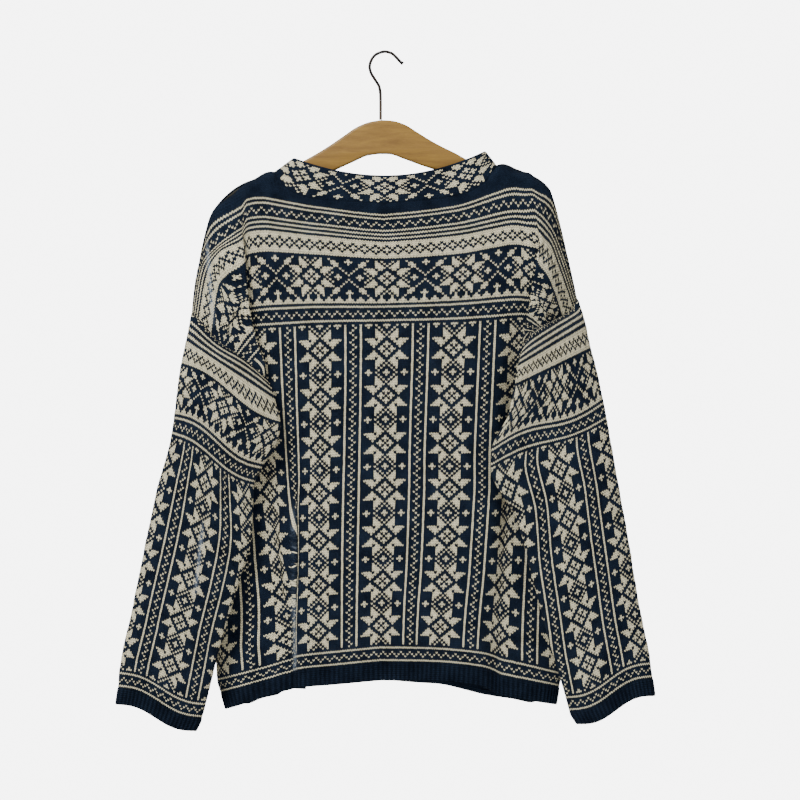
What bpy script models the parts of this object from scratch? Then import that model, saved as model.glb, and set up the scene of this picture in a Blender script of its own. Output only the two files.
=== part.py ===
# A two-colour wool sweater that hangs on a wooden hanger.
# The frame has its origin where the hook bears, +Z up, and the front of the sweater faces -Y.
# Tables are in millimetres: "out" is the distance from the middle plane, "drop" the distance below
# the bearing point, "depth" the place along Y. A wale is a column of stitches, counted from the
# middle of the panel, and a row is a course of stitches, counted down from the first cream line.

import math

import bmesh
import bpy
import numpy as np

MM = 0.001
CLOTH = 2.6
BAND_CLOTH = 3.6
SEAM_GAP = 0.3
HALF_WALES = 97.5
HEM_ROW = 200.0
SLEEVE_TOP_ROW = 3.0
SLEEVE_END_ROW = 162.0
STITCH_HIGH = 3.0
SHOULDER_ROUND = 13.0
NECK_ROUND = 24.0
RIB_RAISE = 0.9

# The chest: the middle line, the depth of the front, and wales 26 and 52 on each side.
# Columns: row, middle, drop, depth, left26, left52, leftDrop, right26, right52, rightDrop.
CHEST = (
    (-12, -1, 182, 14, 93, 172, 146, 94, 173, 133),
    (-8, -1, 190, 15, 93, 173, 167, 93, 173, 154),
    (0, -1, 210, 16, 92, 175, 192, 92, 175, 179),
    (14, 2, 246, 19, 91, 175, 236, 93, 177, 228),
    (23, 3, 269, 21, 90, 175, 265, 94, 178, 253),
    (45, 2, 330, 23, 85, 170, 336, 90, 176, 321),
    (70, 1, 405, 24, 84, 165, 412, 87, 172, 397),
    (120, 0, 554, 26, 85, 149, 560, 79, 160, 550),
    (193, -5, 772, 28, 86, 124, 789, 69, 146, 787),
    (200, -5, 791, 28, 86, 124, 806, 69, 146, 808),
)

# The knife pleat on the left of the front, and the soft groove on the right.
PLEAT = {"wale": 37.5, "start": 112, "hidden": 12.5, "out": 116, "reach": 13, "step": 9}
GROOVE = {"start": 20, "full": 90, "deep": 17}

# The lines that shape each side of the front: where the cloth turns under the shoulder fold, where
# it turns back over the chest, two lines over the fold's flap, and the seam.
# Columns of every line, here and on the back: row, wale, out, drop, depth.
FRONT_LINES = {
    "left": {
        "valley": (
            (-6, 57, 186, 177, -13), (8, 57, 185, 228, -17),
            (14, 58.5, 184, 241, -20), (23, 60.5, 189, 269, -22),
            (45, 68, 203, 347, -25), (60, 67, 209, 388, -25),
            (70, 67, 211, 419, -25), (82, 69, 207, 455, -25),
            (95, 72, 200, 492, -25), (108, 76, 206, 532, -23),
            (120, 79, 212, 574, -17), (135, 82, 219, 625, -8),
            (150, 83, 220, 675, -5), (193, 84, 217, 814, -2), (200, 84, 212, 831, -2),
        ),
        "ridge": (
            (-6, 60, 194, 182, -13), (8, 60, 191, 232, -18),
            (14, 61, 185, 245, -26), (23, 64, 181, 274, -33),
            (32, 74, 178, 311, -36), (45, 86, 169, 365, -38),
            (51, 90, 163, 384, -38), (60, 93, 155, 411, -38),
            (70, 92, 157, 437, -30), (82, 92, 190, 462, -29),
            (95, 86, 206, 497, -26), (108, 88, 213, 537, -22),
            (120, 88, 219, 580, -12), (135, 89, 222.5, 632, -2),
            (150, 90, 219.5, 678, 5), (193, 91, 212, 812, 8),
            (200, 91, 207, 829, 8),
        ),
        "shoulder": (
            (-3.5, 69, 225, 210, -9), (8, 69, 218, 252, -15),
            (14, 70, 212, 259, -23), (23, 72, 204, 292, -32),
            (32, 80, 189, 329, -38),
        ),
        "flap": (
            (0.5, 78, 235, 251, 0), (8, 78, 237, 275, -9), (14, 79, 228, 283, -17), (23, 80, 213, 302, -28),
            (32, 86, 198, 345, -36),
        ),
        "seam": (
            (7, 97.5, 251, 340, 0), (14, 97.5, 241, 348, -9),
            (23, 97.5, 224, 367, -20), (32, 97.5, 210, 381, -28),
            (45, 97.5, 192, 394, -35), (51, 97.5, 180, 404, -37),
            (60, 97.5, 165, 417, -37), (70, 97.5, 148, 438, -31.5),
            (82, 97.5, 182, 470, -30), (95, 97.5, 212, 505, -27),
            (108, 97.5, 219, 545, -17), (120, 97.5, 223, 588, -5),
            (135, 97.5, 223, 640, 4), (150, 97.5, 216, 682, 12),
            (193, 97.5, 200, 806, 17), (200, 97.5, 197, 824, 17),
        ),
    },
    "right": {
        "valley": (
            (-6, 57, 187, 159, -13), (8, 57, 193, 205, -17),
            (14, 58.5, 199, 231, -20), (23, 60.5, 204, 261, -22),
            (45, 68, 212, 329, -25), (60, 67, 215, 370, -25),
            (70, 66, 216, 402, -25), (82, 69, 213, 438, -25),
            (95, 72, 206, 477, -25), (108, 76, 212, 515, -23),
            (120, 79, 219, 555, -17), (135, 82, 225, 605, -8),
            (150, 83, 227, 656, -5), (193, 84.5, 228, 806, -2), (200, 84.5, 225, 824, -2),
        ),
        "ridge": (
            (-6, 60, 195, 163, -13), (8, 60, 200, 210, -18),
            (14, 61, 202, 238, -26), (23, 64, 197, 272, -33),
            (32, 74, 191, 306, -36), (45, 86, 184, 346, -38),
            (51, 90, 181, 360, -38), (60, 93, 178, 374, -38),
            (70, 92, 186, 390, -30), (82, 92, 203, 436, -29),
            (95, 86, 212, 480, -26), (108, 88, 219, 520, -22),
            (120, 88, 226, 562, -12), (135, 89, 229.5, 613, -2),
            (150, 90, 227.5, 660, 5), (193, 91, 221, 803, 8),
            (200, 91, 217, 821, 8),
        ),
        "shoulder": (
            (-3.5, 69, 212, 176, -9), (8, 69, 215, 228, -15),
            (14, 70, 214, 253, -23), (23, 72, 209, 291, -32),
            (32, 80, 200, 320, -38),
        ),
        "flap": (
            (0.5, 78, 230, 236, 0), (8, 78, 228, 258, -10),
            (14, 79, 224, 279, -18), (23, 80, 218, 311, -28),
            (32, 86, 206, 333, -36),
        ),
        "seam": (
            (7, 97.5, 249, 320, 0), (14, 97.5, 244, 334, -9),
            (23, 97.5, 229, 344, -20), (32, 97.5, 215, 350, -28),
            (45, 97.5, 200, 357, -35), (51, 97.5, 193, 362, -37),
            (60, 97.5, 184, 374, -37), (70, 97.5, 178, 392, -31.5),
            (82, 97.5, 197, 442, -30), (95, 97.5, 218, 488, -27),
            (108, 97.5, 225, 527, -17), (120, 97.5, 230, 570, -5),
            (135, 97.5, 230, 620, 4), (150, 97.5, 224, 664, 12),
            (193, 97.5, 210, 800, 17), (200, 97.5, 206, 818, 17),
        ),
    },
}

# The back hangs straight, in soft folds, and its sides come forward under the arms.
BACK_LINES = {
    "left": {
        "shoulder": (
            (-3.5, 69, 225, 210, 11), (14, 66, 212, 256, 15),
            (45, 64, 214, 350, 19), (70, 64, 216, 420, 12),
            (95, 64, 212, 492, 14), (120, 64, 202, 573, 20), (200, 62, 140, 815, 27),
        ),
        "side": (
            (-1.5, 73, 231, 229, 7), (14, 74, 228, 282, 14), (45, 73, 229, 366, 13), (60, 73, 232, 396, -4),
            (70, 73, 232, 422, -19), (82, 73, 231, 458, -15), (95, 73, 229, 496, -4),
            (120, 73, 222, 577, 12), (150, 73, 200, 676, 22), (200, 72, 163, 817, 27),
        ),
        "flap": (
            (3, 84, 241, 272, 0), (14, 85, 240, 308, 11), (45, 86, 232, 384, 6), (51, 86, 234, 394, -2),
            (60, 86, 228, 410, -24), (70, 85, 205, 430, -36), (82, 85, 211, 464, -34),
            (95, 85, 225, 503, -20), (108, 85, 226, 543, -6), (120, 85, 225, 582, 6),
            (135, 85, 222, 630, 13), (150, 85, 210, 679, 17), (200, 85, 184, 822, 24),
        ),
        "seam": (
            (7, 97.5, 251, 340, 0), (14, 97.5, 248, 350, 8),
            (23, 97.5, 243, 364, 12), (32, 97.5, 237, 378, 11),
            (45, 97.5, 233, 396, -2), (51, 97.5, 230, 405, -16),
            (60, 97.5, 205, 420, -34), (70, 97.5, 148, 438, -35.5),
            (82, 97.5, 182, 470, -34.5), (95, 97.5, 213, 505, -31),
            (108, 97.5, 219.5, 545, -16.6), (120, 97.5, 223, 588, -4.6),
            (135, 97.5, 223, 640, 4.4), (150, 97.5, 215.7, 682, 12.4),
            (193, 97.5, 199.6, 806, 17.3), (200, 97.5, 196.6, 824, 17.3),
        ),
    },
    "right": {
        "shoulder": (
            (-3.5, 69, 212, 176, 11), (14, 66, 212, 234, 15),
            (45, 64, 217, 330, 19), (70, 64, 220, 402, 12),
            (95, 64, 216, 476, 14), (120, 64, 208, 556, 20), (200, 62, 150, 810, 27),
        ),
        "side": (
            (-1.5, 73, 219, 196, 7), (14, 74, 227, 258, 14), (45, 73, 231, 344, 13), (60, 73, 236, 380, -4),
            (70, 73, 237, 405, -19), (82, 73, 236, 440, -15), (95, 73, 234, 480, -4),
            (120, 73, 228, 560, 12), (150, 73, 208, 657, 22), (200, 72, 172, 813, 27),
        ),
        "flap": (
            (3, 84, 236, 262, 0), (14, 85, 238, 292, 11), (45, 86, 237, 362, 6), (51, 86, 238, 370, -2),
            (60, 86, 232, 382, -24), (70, 85, 212, 398, -36), (82, 85, 219, 440, -34),
            (95, 85, 230, 486, -20), (108, 85, 233, 527, -6), (120, 85, 232, 566, 6),
            (135, 85, 229, 614, 13), (150, 85, 218, 661, 17), (200, 85, 194, 818, 24),
        ),
        "seam": (
            (7, 97.5, 249, 320, 0), (14, 97.5, 248, 336, 8),
            (23, 97.5, 245, 348, 12), (32, 97.5, 240, 360, 11),
            (45, 97.5, 238, 372, -2), (51, 97.5, 234, 378, -16),
            (60, 97.5, 212, 384, -34), (70, 97.5, 178, 392, -35.5),
            (82, 97.5, 197, 442, -34.5), (95, 97.5, 219, 488, -31),
            (108, 97.5, 225.5, 527, -16.6), (120, 97.5, 230, 570, -4.6),
            (135, 97.5, 230, 620, 4.4), (150, 97.5, 223.7, 664, 12.4),
            (193, 97.5, 209.6, 800, 17.3), (200, 97.5, 205.6, 818, 17.3),
        ),
    },
}
BACK = {"depthTop": 15, "depthHem": 27, "folds": 3.5, "foldDeep": 9, "drop": 1.5}

# Each sleeve's sections: its outer edge, its inner edge, and how far the cloth stands to the front
# and to the back between them. Columns: row, outerOut, outerDrop, outerDepth, innerOut, innerDrop,
# innerDepth, front, back, sag.
SLEEVE = {
    "left": (
        (14, 257, 376, -22, 142, 452, -46, 13, 1, 0), (23, 263, 405, -27, 135, 481, -47, 13, 2, -6),
        (32, 267, 432, -30, 138, 500, -47, 13, 2, -8), (45, 272, 474, -32, 160, 538, -46, 13, 3, -7),
        (53, 276, 500, -33, 170, 562, -45, 13, 3, -5), (75, 294, 567, -36, 173, 625, -42, 13, 4, -4),
        (100, 310, 642, -38, 191, 692, -40, 13, 5, -4), (130, 328, 730, -38, 216, 775, -39, 12, 6, -4),
        (155, 343, 804, -38, 233, 844, -38, 12, 7, -5), (162, 344, 823, -38, 238, 862, -38, 12, 7, -5),
        (170, 347, 845, -38, 246, 879, -38, 12, 7, -5),
    ),
    "right": (
        (14, 260, 357, -22, 172, 409, -46, 13, 1, 0), (23, 266, 385, -27, 168, 432, -47, 13, 2, 0),
        (32, 273, 412, -30, 160, 470, -47, 13, 2, 3), (45, 282, 455, -32, 139, 516, -46, 14, 3, 6),
        (53, 287, 480, -33, 138, 540, -45, 15, 3, 4), (75, 299, 548, -36, 171, 604, -42, 16, 4, 0),
        (100, 313, 625, -38, 191, 678, -40, 15, 5, -2), (130, 328, 716, -38, 214, 764, -39, 12, 6, -4),
        (155, 343, 792, -38, 235, 835, -38, 12, 7, -6), (162, 345, 811, -38, 240, 853, -38, 12, 7, -6),
        (170, 348, 834, -38, 250, 870, -38, 12, 7, -6),
    ),
}
PANEL_TOP_SHARES = (0.0, 0.02, 0.07, 0.2, 0.4, 0.68)
PANEL_ROWS = (14, 20, 26, 32, 38.5, 45, 51, 58, 64, 70, 78, 86, 95, 104, 112, 120, 135, 150, 165, 180, HEM_ROW - 0.1)
SLEEVE_SIDES = 24
SLEEVE_ROWS = (3, 6, 10, 14, 20, 26, 33, 40, 48, 56, 66, 78, 92, 108, 124, 140, SLEEVE_END_ROW - 0.1)
CUFF_RIBS = 46
CUFF_END_ROW = 170.0
HEM_RIBS = 97
HEM_END_ROW = 208.8
RIB_SKIP = 5
NECK_SIDES = 40

# The neck: half its wales, how far it stands off the middle plane, the ends of its folded edge on
# each side (out, drop), the edge's lowest drop in front, how much lower it is behind, and the share
# of its height that its foot keeps off the body, in the middle and more towards the ends.
NECK = {
    "wale": 42.3, "deep": 15.2, "left": (117, 137), "right": (129, 128), "dip": 159.5, "backDip": 2.5,
    "foot": 0.021, "footMore": 0.065, "lean": 2.0,
}

# How far apart the front and the back start at the shoulder seam, each from the middle plane, and
# the wales over which that grows for the sleeve's sake.
SHOULDER_SEAM = {"apart": 0.6, "grows": 2.3, "from": 66, "over": 9, "more": 1.0, "moreFrom": 72, "moreOver": 8}

# The armhole's first and last row, how far the sleeve's first ring stands off it at the front and
# the back, and the row by which the sleeve has its full shape.
ARMHOLE = {"first": 7, "last": 70, "front": 2.4, "back": 4.4, "settled": 14}

# The first row of the front and of the back at each wale, along the neck and the shoulder.
# Columns: wale, row.
TOP = (
    (0, -5.5), (28, -6.5), (37.5, -9), (42.3, -12.5), (52, -8), (60, -6), (69, -3.5), (78, 0.5),
    (88, 4.5), (97.5, 7),
)

# The hanger: half widths and drops of the wood's upper and lower edges from its apex.
HANGER = {"thick": 11, "round": 1.5, "tilt": 3.2, "apex": (-5.2, 87.1)}
WOOD_TOP = (
    (0, 0), (14, 1.6), (29, 6.5), (49, 19), (65, 29.5), (84, 40.5), (97.6, 47.6), (120, 60.8), (146, 73.6),
    (179, 86.3), (187, 91),
)
WOOD_BOTTOM = (
    (192.5, 96.5), (194, 101), (190, 104), (175, 99.5), (140, 91), (110, 82), (73, 68.5), (57, 62.5),
    (34, 53), (13, 45.2), (0, 44.2),
)
# The hook's wire, by its middle line. Columns: x, drop.
HOOK = (
    (-5.7, 86.7), (-5.7, 70), (-5.9, 54), (-7.4, 44.2), (-13.4, 33.8), (-18.7, 24.4), (-20, 17.8),
    (-17.4, 8.6), (-10.8, 1.3), (0, -1.9), (7.8, 0), (14.3, 5.2), (19.8, 11.2), (23.4, 13.9),
)
WIRE = 3.8

COLOURS = {
    "navy": (0.012, 0.022, 0.05, 1.0),
    "cream": (0.55, 0.5, 0.36, 1.0),
    "wood": (0.58, 0.36, 0.13, 1.0),
    "steel": (0.06, 0.05, 0.045, 1.0),
}


def smooth(knots, values, at):
    """A curve through values that never overshoots them, read at one place or many."""
    knots = np.asarray(knots, float)
    values = np.asarray(values, float)
    if values.ndim == 1:
        values = values[:, None]
    span = np.diff(knots)
    slope = np.diff(values, axis=0) / span[:, None]
    bend = np.zeros_like(values)
    w1 = (2 * span[1:] + span[:-1])[:, None]
    w2 = (span[1:] + 2 * span[:-1])[:, None]
    same = slope[:-1] * slope[1:] > 0
    safe = np.where(same, slope[:-1] * slope[1:], 1.0)
    bend[1:-1] = np.where(same, (w1 + w2) * safe / (w1 * slope[1:] + w2 * slope[:-1] + (~same)), 0.0)
    bend[0], bend[-1] = slope[0], slope[-1]
    at = np.asarray(at, float)
    i = np.clip(np.searchsorted(knots, at, side="right") - 1, 0, len(span) - 1)
    s = at - knots[i]
    u = np.clip(s / span[i], 0, 1)[..., None]
    h = span[i][..., None]
    inside = (
        values[i] * (1 - u) ** 2 * (1 + 2 * u) + values[i + 1] * u**2 * (3 - 2 * u)
        + h * bend[i] * u * (1 - u) ** 2 - h * bend[i + 1] * u**2 * (1 - u)
    )
    before = np.minimum(at - knots[0], 0)[..., None] * bend[0]
    after = np.maximum(at - knots[-1], 0)[..., None] * bend[-1]
    return inside + before + after


def read(table, row):
    """One row of a table at any row of stitches, without the first column."""
    table = np.asarray(table, float)
    return smooth(table[:, 0], table[:, 1:], row)


def trimmed(seam, inner):
    """The seam line drawn back by half the gap that a seam keeps."""
    way = inner - seam
    way[0] = 0
    return seam + way * (SEAM_GAP * 2 / max(float(np.linalg.norm(way)), 1.0))


def ease(x):
    x = min(max(x, 0.0), 1.0)
    return x * x * (3 - 2 * x)


def top_row(wale):
    table = np.asarray(TOP, float)
    return float(smooth(table[:, 0], table[:, 1], abs(wale))[0])


def neck_depth(wale):
    """How far the neck seam stands off the middle plane."""
    share = min(abs(wale) / NECK["wale"], 1.0)
    return NECK["deep"] * math.sqrt(1 - share**8)


def front_side_knots(side, row):
    """Wales and places (x, depth, z) of the lines on one side of the front, from the middle out."""
    sign = -1 if side == "left" else 1
    middle, drop, depth, l26, l52, lDrop, r26, r52, rDrop = read(CHEST, row)
    out26, out52, drop52 = (l26, l52, lDrop) if side == "left" else (r26, r52, rDrop)
    knots = [(0, middle * sign, drop, -depth)]

    def chest_point(wale):
        out = float(smooth((0, 26, 52), (middle * sign, out26, out52), wale)[0])
        return out, drop + (drop52 - drop) * (wale / 52) ** 2

    knots.append((26, *chest_point(26), -depth))
    turned = ease((row - GROOVE["start"]) / (GROOVE["full"] - GROOVE["start"]))
    if side == "left":
        folded = ease((row - PLEAT["start"]) / (HEM_ROW - 15 - PLEAT["start"]))
        hidden = 2 + (PLEAT["hidden"] - 2) * folded
        places = ((0.0, PLEAT["out"], 0), (0.5, PLEAT["out"] - PLEAT["reach"], 0.5), (1.0, PLEAT["out"] + 1, 1))
        for share, out, step in places:
            flat_out, flat_drop = chest_point(PLEAT["wale"] + 2 * share)
            fall = flat_drop + step * folded
            knots.append((
                PLEAT["wale"] + hidden * share, flat_out + (out - flat_out) * folded, fall,
                -depth + PLEAT["step"] * step * folded,
            ))
        fold_end = knots[-1]
        beside = NECK["wale"] + (fold_end[0] + 1.5 - NECK["wale"]) * folded
        flat_out, flat_drop = chest_point(beside)
        outer_part = (fold_end[1] + 4 - flat_out) * folded
        knots.append((beside, flat_out + outer_part, flat_drop - 2 * folded, fold_end[3]))
        knots.append((53, out52 + 3.2, drop52, -depth + PLEAT["step"] * folded))
    else:
        knots.append((NECK["wale"], *chest_point(NECK["wale"]), -depth + 2 * turned))
        knots.append((52, out52, drop52, -depth + GROOVE["deep"] * turned))
    lines = FRONT_LINES[side]
    valley, ridge, seam = (read(lines[name], row) for name in ("valley", "ridge", "seam"))
    knots.append(tuple(valley))
    knots.append(tuple(ridge))
    late = ease((row - 30) / 15)
    for share, name in ((1 / 3, "shoulder"), (2 / 3, "flap")):
        early_point = read(lines[name], min(row, 32))
        late_point = ridge + (seam - ridge) * share
        knots.append(tuple(early_point + (late_point - early_point) * late))
    knots.append(tuple(trimmed(seam, ridge) if row > 70 else seam))
    return [(wale, sign * out, depth_at, -drop_at) for wale, out, drop_at, depth_at in knots]


def back_side_knots(side, row):
    sign = -1 if side == "left" else 1
    middle, drop, _, l26, l52, lDrop, r26, r52, rDrop = read(CHEST, row)
    out26, out52, drop52 = (l26, l52, lDrop) if side == "left" else (r26, r52, rDrop)
    lines = BACK_LINES[side]
    outer = [read(lines[name], row) for name in ("shoulder", "side", "flap", "seam")]
    if row > 70:
        outer[-1] = trimmed(outer[-1], outer[-2])
    down = ease((row - 10) / 150)
    depth = BACK["depthTop"] + (BACK["depthHem"] - BACK["depthTop"]) * down
    wide = 1 - 0.28 * ease((row - 70) / 130)
    drop += BACK["drop"]
    knots = [(0, middle * sign, drop, depth)]
    step = (drop52 - drop) / 52**2
    knots.append((26, 26 * 3.4 * wide, drop + step * 26**2, depth))
    neck = NECK["wale"]
    out_neck = float(smooth((0, 26, 52), (middle * sign, out26, out52), neck)[0])
    out_neck += (neck * 3.4 * wide - out_neck) * ease((row - 10) / 60)
    knots.append((neck, out_neck, drop + step * neck**2, depth))
    out_side = out52 + 3.2
    out_side += (53 * 3.4 * wide - out_side) * ease((row - 10) / 60)
    knots.append((53, out_side, drop + step * 53**2, depth))
    knots += [tuple(line) for line in outer]
    return [(wale, sign * out, depth_at, -drop_at) for wale, out, drop_at, depth_at in knots]


def across(knots, wale):
    """The place of a wale between the lines of one side."""
    knots = np.asarray(knots, float)
    wales = knots[:, 0].copy()
    for k in range(1, len(wales)):
        wales[k] = max(wales[k], wales[k - 1] + 0.05)
    return smooth(wales, knots[:, 1:], abs(wale))


def panel_point(knots_of, wale, row, away):
    """A point of the front (away -1) or the back (away 1), in millimetres."""
    side = "left" if wale < 0 else "right"
    point = across(knots_of(side, row), wale).copy()
    top = top_row(wale)
    run = max(row - top, 0) * STITCH_HIGH
    over = math.sqrt(max(1 - (1 - min(run / SHOULDER_ROUND, 1)) ** 2, 0))
    if abs(wale) < NECK["wale"]:
        over = math.sin(math.pi / 2 * min(run / NECK_ROUND, 1))
    seam = SHOULDER_SEAM
    apart = seam["apart"] + seam["grows"] * ease((abs(wale) - seam["from"]) / seam["over"])
    apart += seam["more"] * ease((abs(wale) - seam["moreFrom"]) / seam["moreOver"])
    edge = away * (neck_depth(wale) if abs(wale) < NECK["wale"] else 0) + away * apart * (1 - over)
    point[1] = edge + (point[1] - edge) * over
    return point


def front_point(wale, row):
    return panel_point(front_side_knots, wale, row, -1)


def back_fold(wale, row):
    """The soft folds of the back, which grow towards the hem."""
    share = abs(wale) / HALF_WALES
    ends = ease((1 - share) * 3)
    return BACK["foldDeep"] * ease((row - 45) / 110) * ends * math.sin(2 * math.pi * BACK["folds"] * share + 0.6)


def back_point(wale, row):
    point = panel_point(back_side_knots, wale, row, 1)
    point[1] += back_fold(wale, row)
    return point


def armhole(side, share):
    """The armhole's seam: down the front and up the back. share runs from 0 to 1."""
    first, last = ARMHOLE["first"], ARMHOLE["last"]
    front = share < 0.5
    along = share * 2 if front else 2 - share * 2
    lines = FRONT_LINES if front else BACK_LINES
    sign = -1 if side == "left" else 1
    _, out, drop, depth = read(lines[side]["seam"], first + (last - first) * along)
    return np.array((sign * out, depth, -drop))


def sleeve_start(side, share):
    """The sleeve's first ring, which stands off the seam towards the sleeve."""
    near = (share + 0.01, share - 0.01) if 0.01 < share < 0.49 or share > 0.52 else (share, share)
    seam = armhole(side, share)
    way = sleeve_section(side, ARMHOLE["settled"], share) - seam
    if near[0] != near[1]:
        run = armhole(side, min(near[0], 1.0)) - armhole(side, near[1])
        run /= np.linalg.norm(run)
        way -= run * way.dot(run)
    return seam + way / np.linalg.norm(way) * ARMHOLE["front" if share < 0.5 else "back"]


def sleeve_section(side, row, share):
    """A point of the sleeve's flattened ring: outer edge at 0, inner edge at 0.5."""
    sign = -1 if side == "left" else 1
    o_out, o_drop, o_depth, i_out, i_drop, i_depth, front, back, sag = read(SLEEVE[side], row)
    across_share = 0.5 - 0.5 * math.cos(2 * math.pi * share)
    if share > 0.5:
        bunched = (2 - share * 2) ** 3.2
        across_share += (bunched - across_share) * (1 - ease((row - 14) / 30))
    stand = abs(math.sin(2 * math.pi * share)) ** 0.75
    out = o_out + (i_out - o_out) * across_share
    drop = o_drop + (i_drop - o_drop) * across_share + sag * math.sin(2 * math.pi * across_share)
    depth = o_depth + (i_depth - o_depth) * across_share**0.4
    depth += -front * stand if share <= 0.5 else back * stand
    return np.array((sign * out, depth, -drop))


def sleeve_point(side, row, share):
    full = ARMHOLE["settled"]
    blend = 1 - (1 - min((row - SLEEVE_TOP_ROW) / (full - SLEEVE_TOP_ROW), 1)) ** 1.5
    low = sleeve_section(side, full, share)
    start = sleeve_start(side, share) + sleeve_section(side, max(row, full), share) - low
    settled = sleeve_section(side, row, share) if row >= full else low
    if row < full:
        below = full + 9
        settled = settled + (sleeve_section(side, below, share) - settled) * (row - full) / (below - full)
    return start + (settled - start) * blend


def neck_point(share, high):
    """The neck ring: share 0 to 0.5 runs over the front from the left, then over the back."""
    front = share <= 0.5
    along = -math.cos(2 * math.pi * share)
    wale = along * NECK["wale"]
    point_of = front_point if front else back_point
    foot = point_of(wale, top_row(wale))
    side = "left" if along < 0 else "right"
    peak_out, peak_drop = NECK[side]
    sign = -1 if along < 0 else 1
    reach = abs(along)
    dip = NECK["dip"] + (0 if front else NECK["backDip"])
    lift = reach**1.9
    top = np.array((
        sign * peak_out * reach**0.96, 0.0, -(dip + (peak_drop - dip) * lift),
    ))
    away = -1 if front else 1
    top[1] = away * (NECK["deep"] - NECK["lean"]) * math.sqrt(max(1 - reach**8, 0)) + away * 0.4
    if reach > 0.999:
        top[1] = 0
        foot[1] = 0
    kept_off = NECK["foot"] + NECK["footMore"] * ease((reach - 0.25) / 0.4)
    return foot + (top - foot) * (high + (1 - high) * kept_off)


def new_object(name, mesh_maker, colour, home):
    mesh = bpy.data.meshes.new(name)
    shape = bmesh.new()
    mesh_maker(shape)
    shape.to_mesh(mesh)
    shape.free()
    obj = bpy.data.objects.new(name, mesh)
    home.objects.link(obj)
    finish(obj, colour, 0.9, 0)
    return obj


def thicken(obj, thickness):
    wall = obj.modifiers.new("wall", "SOLIDIFY")
    wall.thickness = thickness * MM
    wall.offset = 0
    wall.use_even_offset = False
    wall.use_quality_normals = True


def grid(shape, points, closed):
    """Faces over rows of points. closed joins each row's end to its start."""
    rows = [[shape.verts.new(point * MM) for point in line] for line in points]
    for upper, lower in zip(rows, rows[1:]):
        count = len(upper)
        for i in range(count if closed else count - 1):
            j = (i + 1) % count
            shape.faces.new((upper[i], lower[i], lower[j], upper[j]))


def panel_wales(panel, row):
    """The wales of a panel's columns at a row. They follow its lines, so that folds keep their edges."""
    wales = []
    for side, sign in (("left", -1), ("right", 1)):
        marks = [knot[0] for knot in panel["knots"](side, row)]
        run = [0.0]
        for (low, high), steps in zip(zip(marks, marks[1:]), panel["steps"][side]):
            power = 2 if high == NECK["wale"] else 1
            run += [high - (high - low) * (1 - k / steps) ** power for k in range(1, steps + 1)]
        run[-1] = HALF_WALES
        wales.append([sign * wale for wale in run])
    return wales[0][:0:-1] + wales[1]


def panel_mesh(panel):
    def make(shape):
        lines = []
        for share in PANEL_TOP_SHARES:
            rows = [(w, top_row(w) + share * (PANEL_ROWS[0] - top_row(w))) for w in panel_wales(panel, -2)]
            lines.append([panel["point"](w, row) for w, row in rows])
        for row in PANEL_ROWS:
            lines.append([panel["point"](w, row) for w in panel_wales(panel, row)])
        grid(shape, lines, False)
        if panel["point"] is back_point:
            bmesh.ops.reverse_faces(shape, faces=shape.faces)

    return make


FRONT_PANEL = {
    "point": front_point,
    "hidden": ((-PLEAT["wale"] - PLEAT["hidden"] - 1, -PLEAT["wale"]),),
    "hemGap": 0.55,
    "knots": front_side_knots,
    "steps": {"left": (2, 2, 1, 1, 2, 1, 1, 2, 1, 1, 1), "right": (2, 3, 1, 2, 2, 1, 1, 1)},
}
BACK_PANEL = {
    "point": back_point,
    "hidden": (),
    "hemGap": 0.2,
    "knots": back_side_knots,
    "steps": {side: (3, 3, 2, 1, 1, 2, 2) for side in ("left", "right")},
}


def sleeve_mesh(side):
    def make(shape):
        ring = [k / SLEEVE_SIDES for k in range(SLEEVE_SIDES)]
        order = ring if side == "left" else ring[::-1]
        grid(shape, [[sleeve_point(side, row, k) for k in order] for row in SLEEVE_ROWS], True)

    return make


def neck_mesh(shape):
    around = [k / NECK_SIDES for k in range(NECK_SIDES)]
    grid(shape, [[neck_point(k, high) for k in around] for high in (1, 0.7, 0.35, 0)], True)


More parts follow.
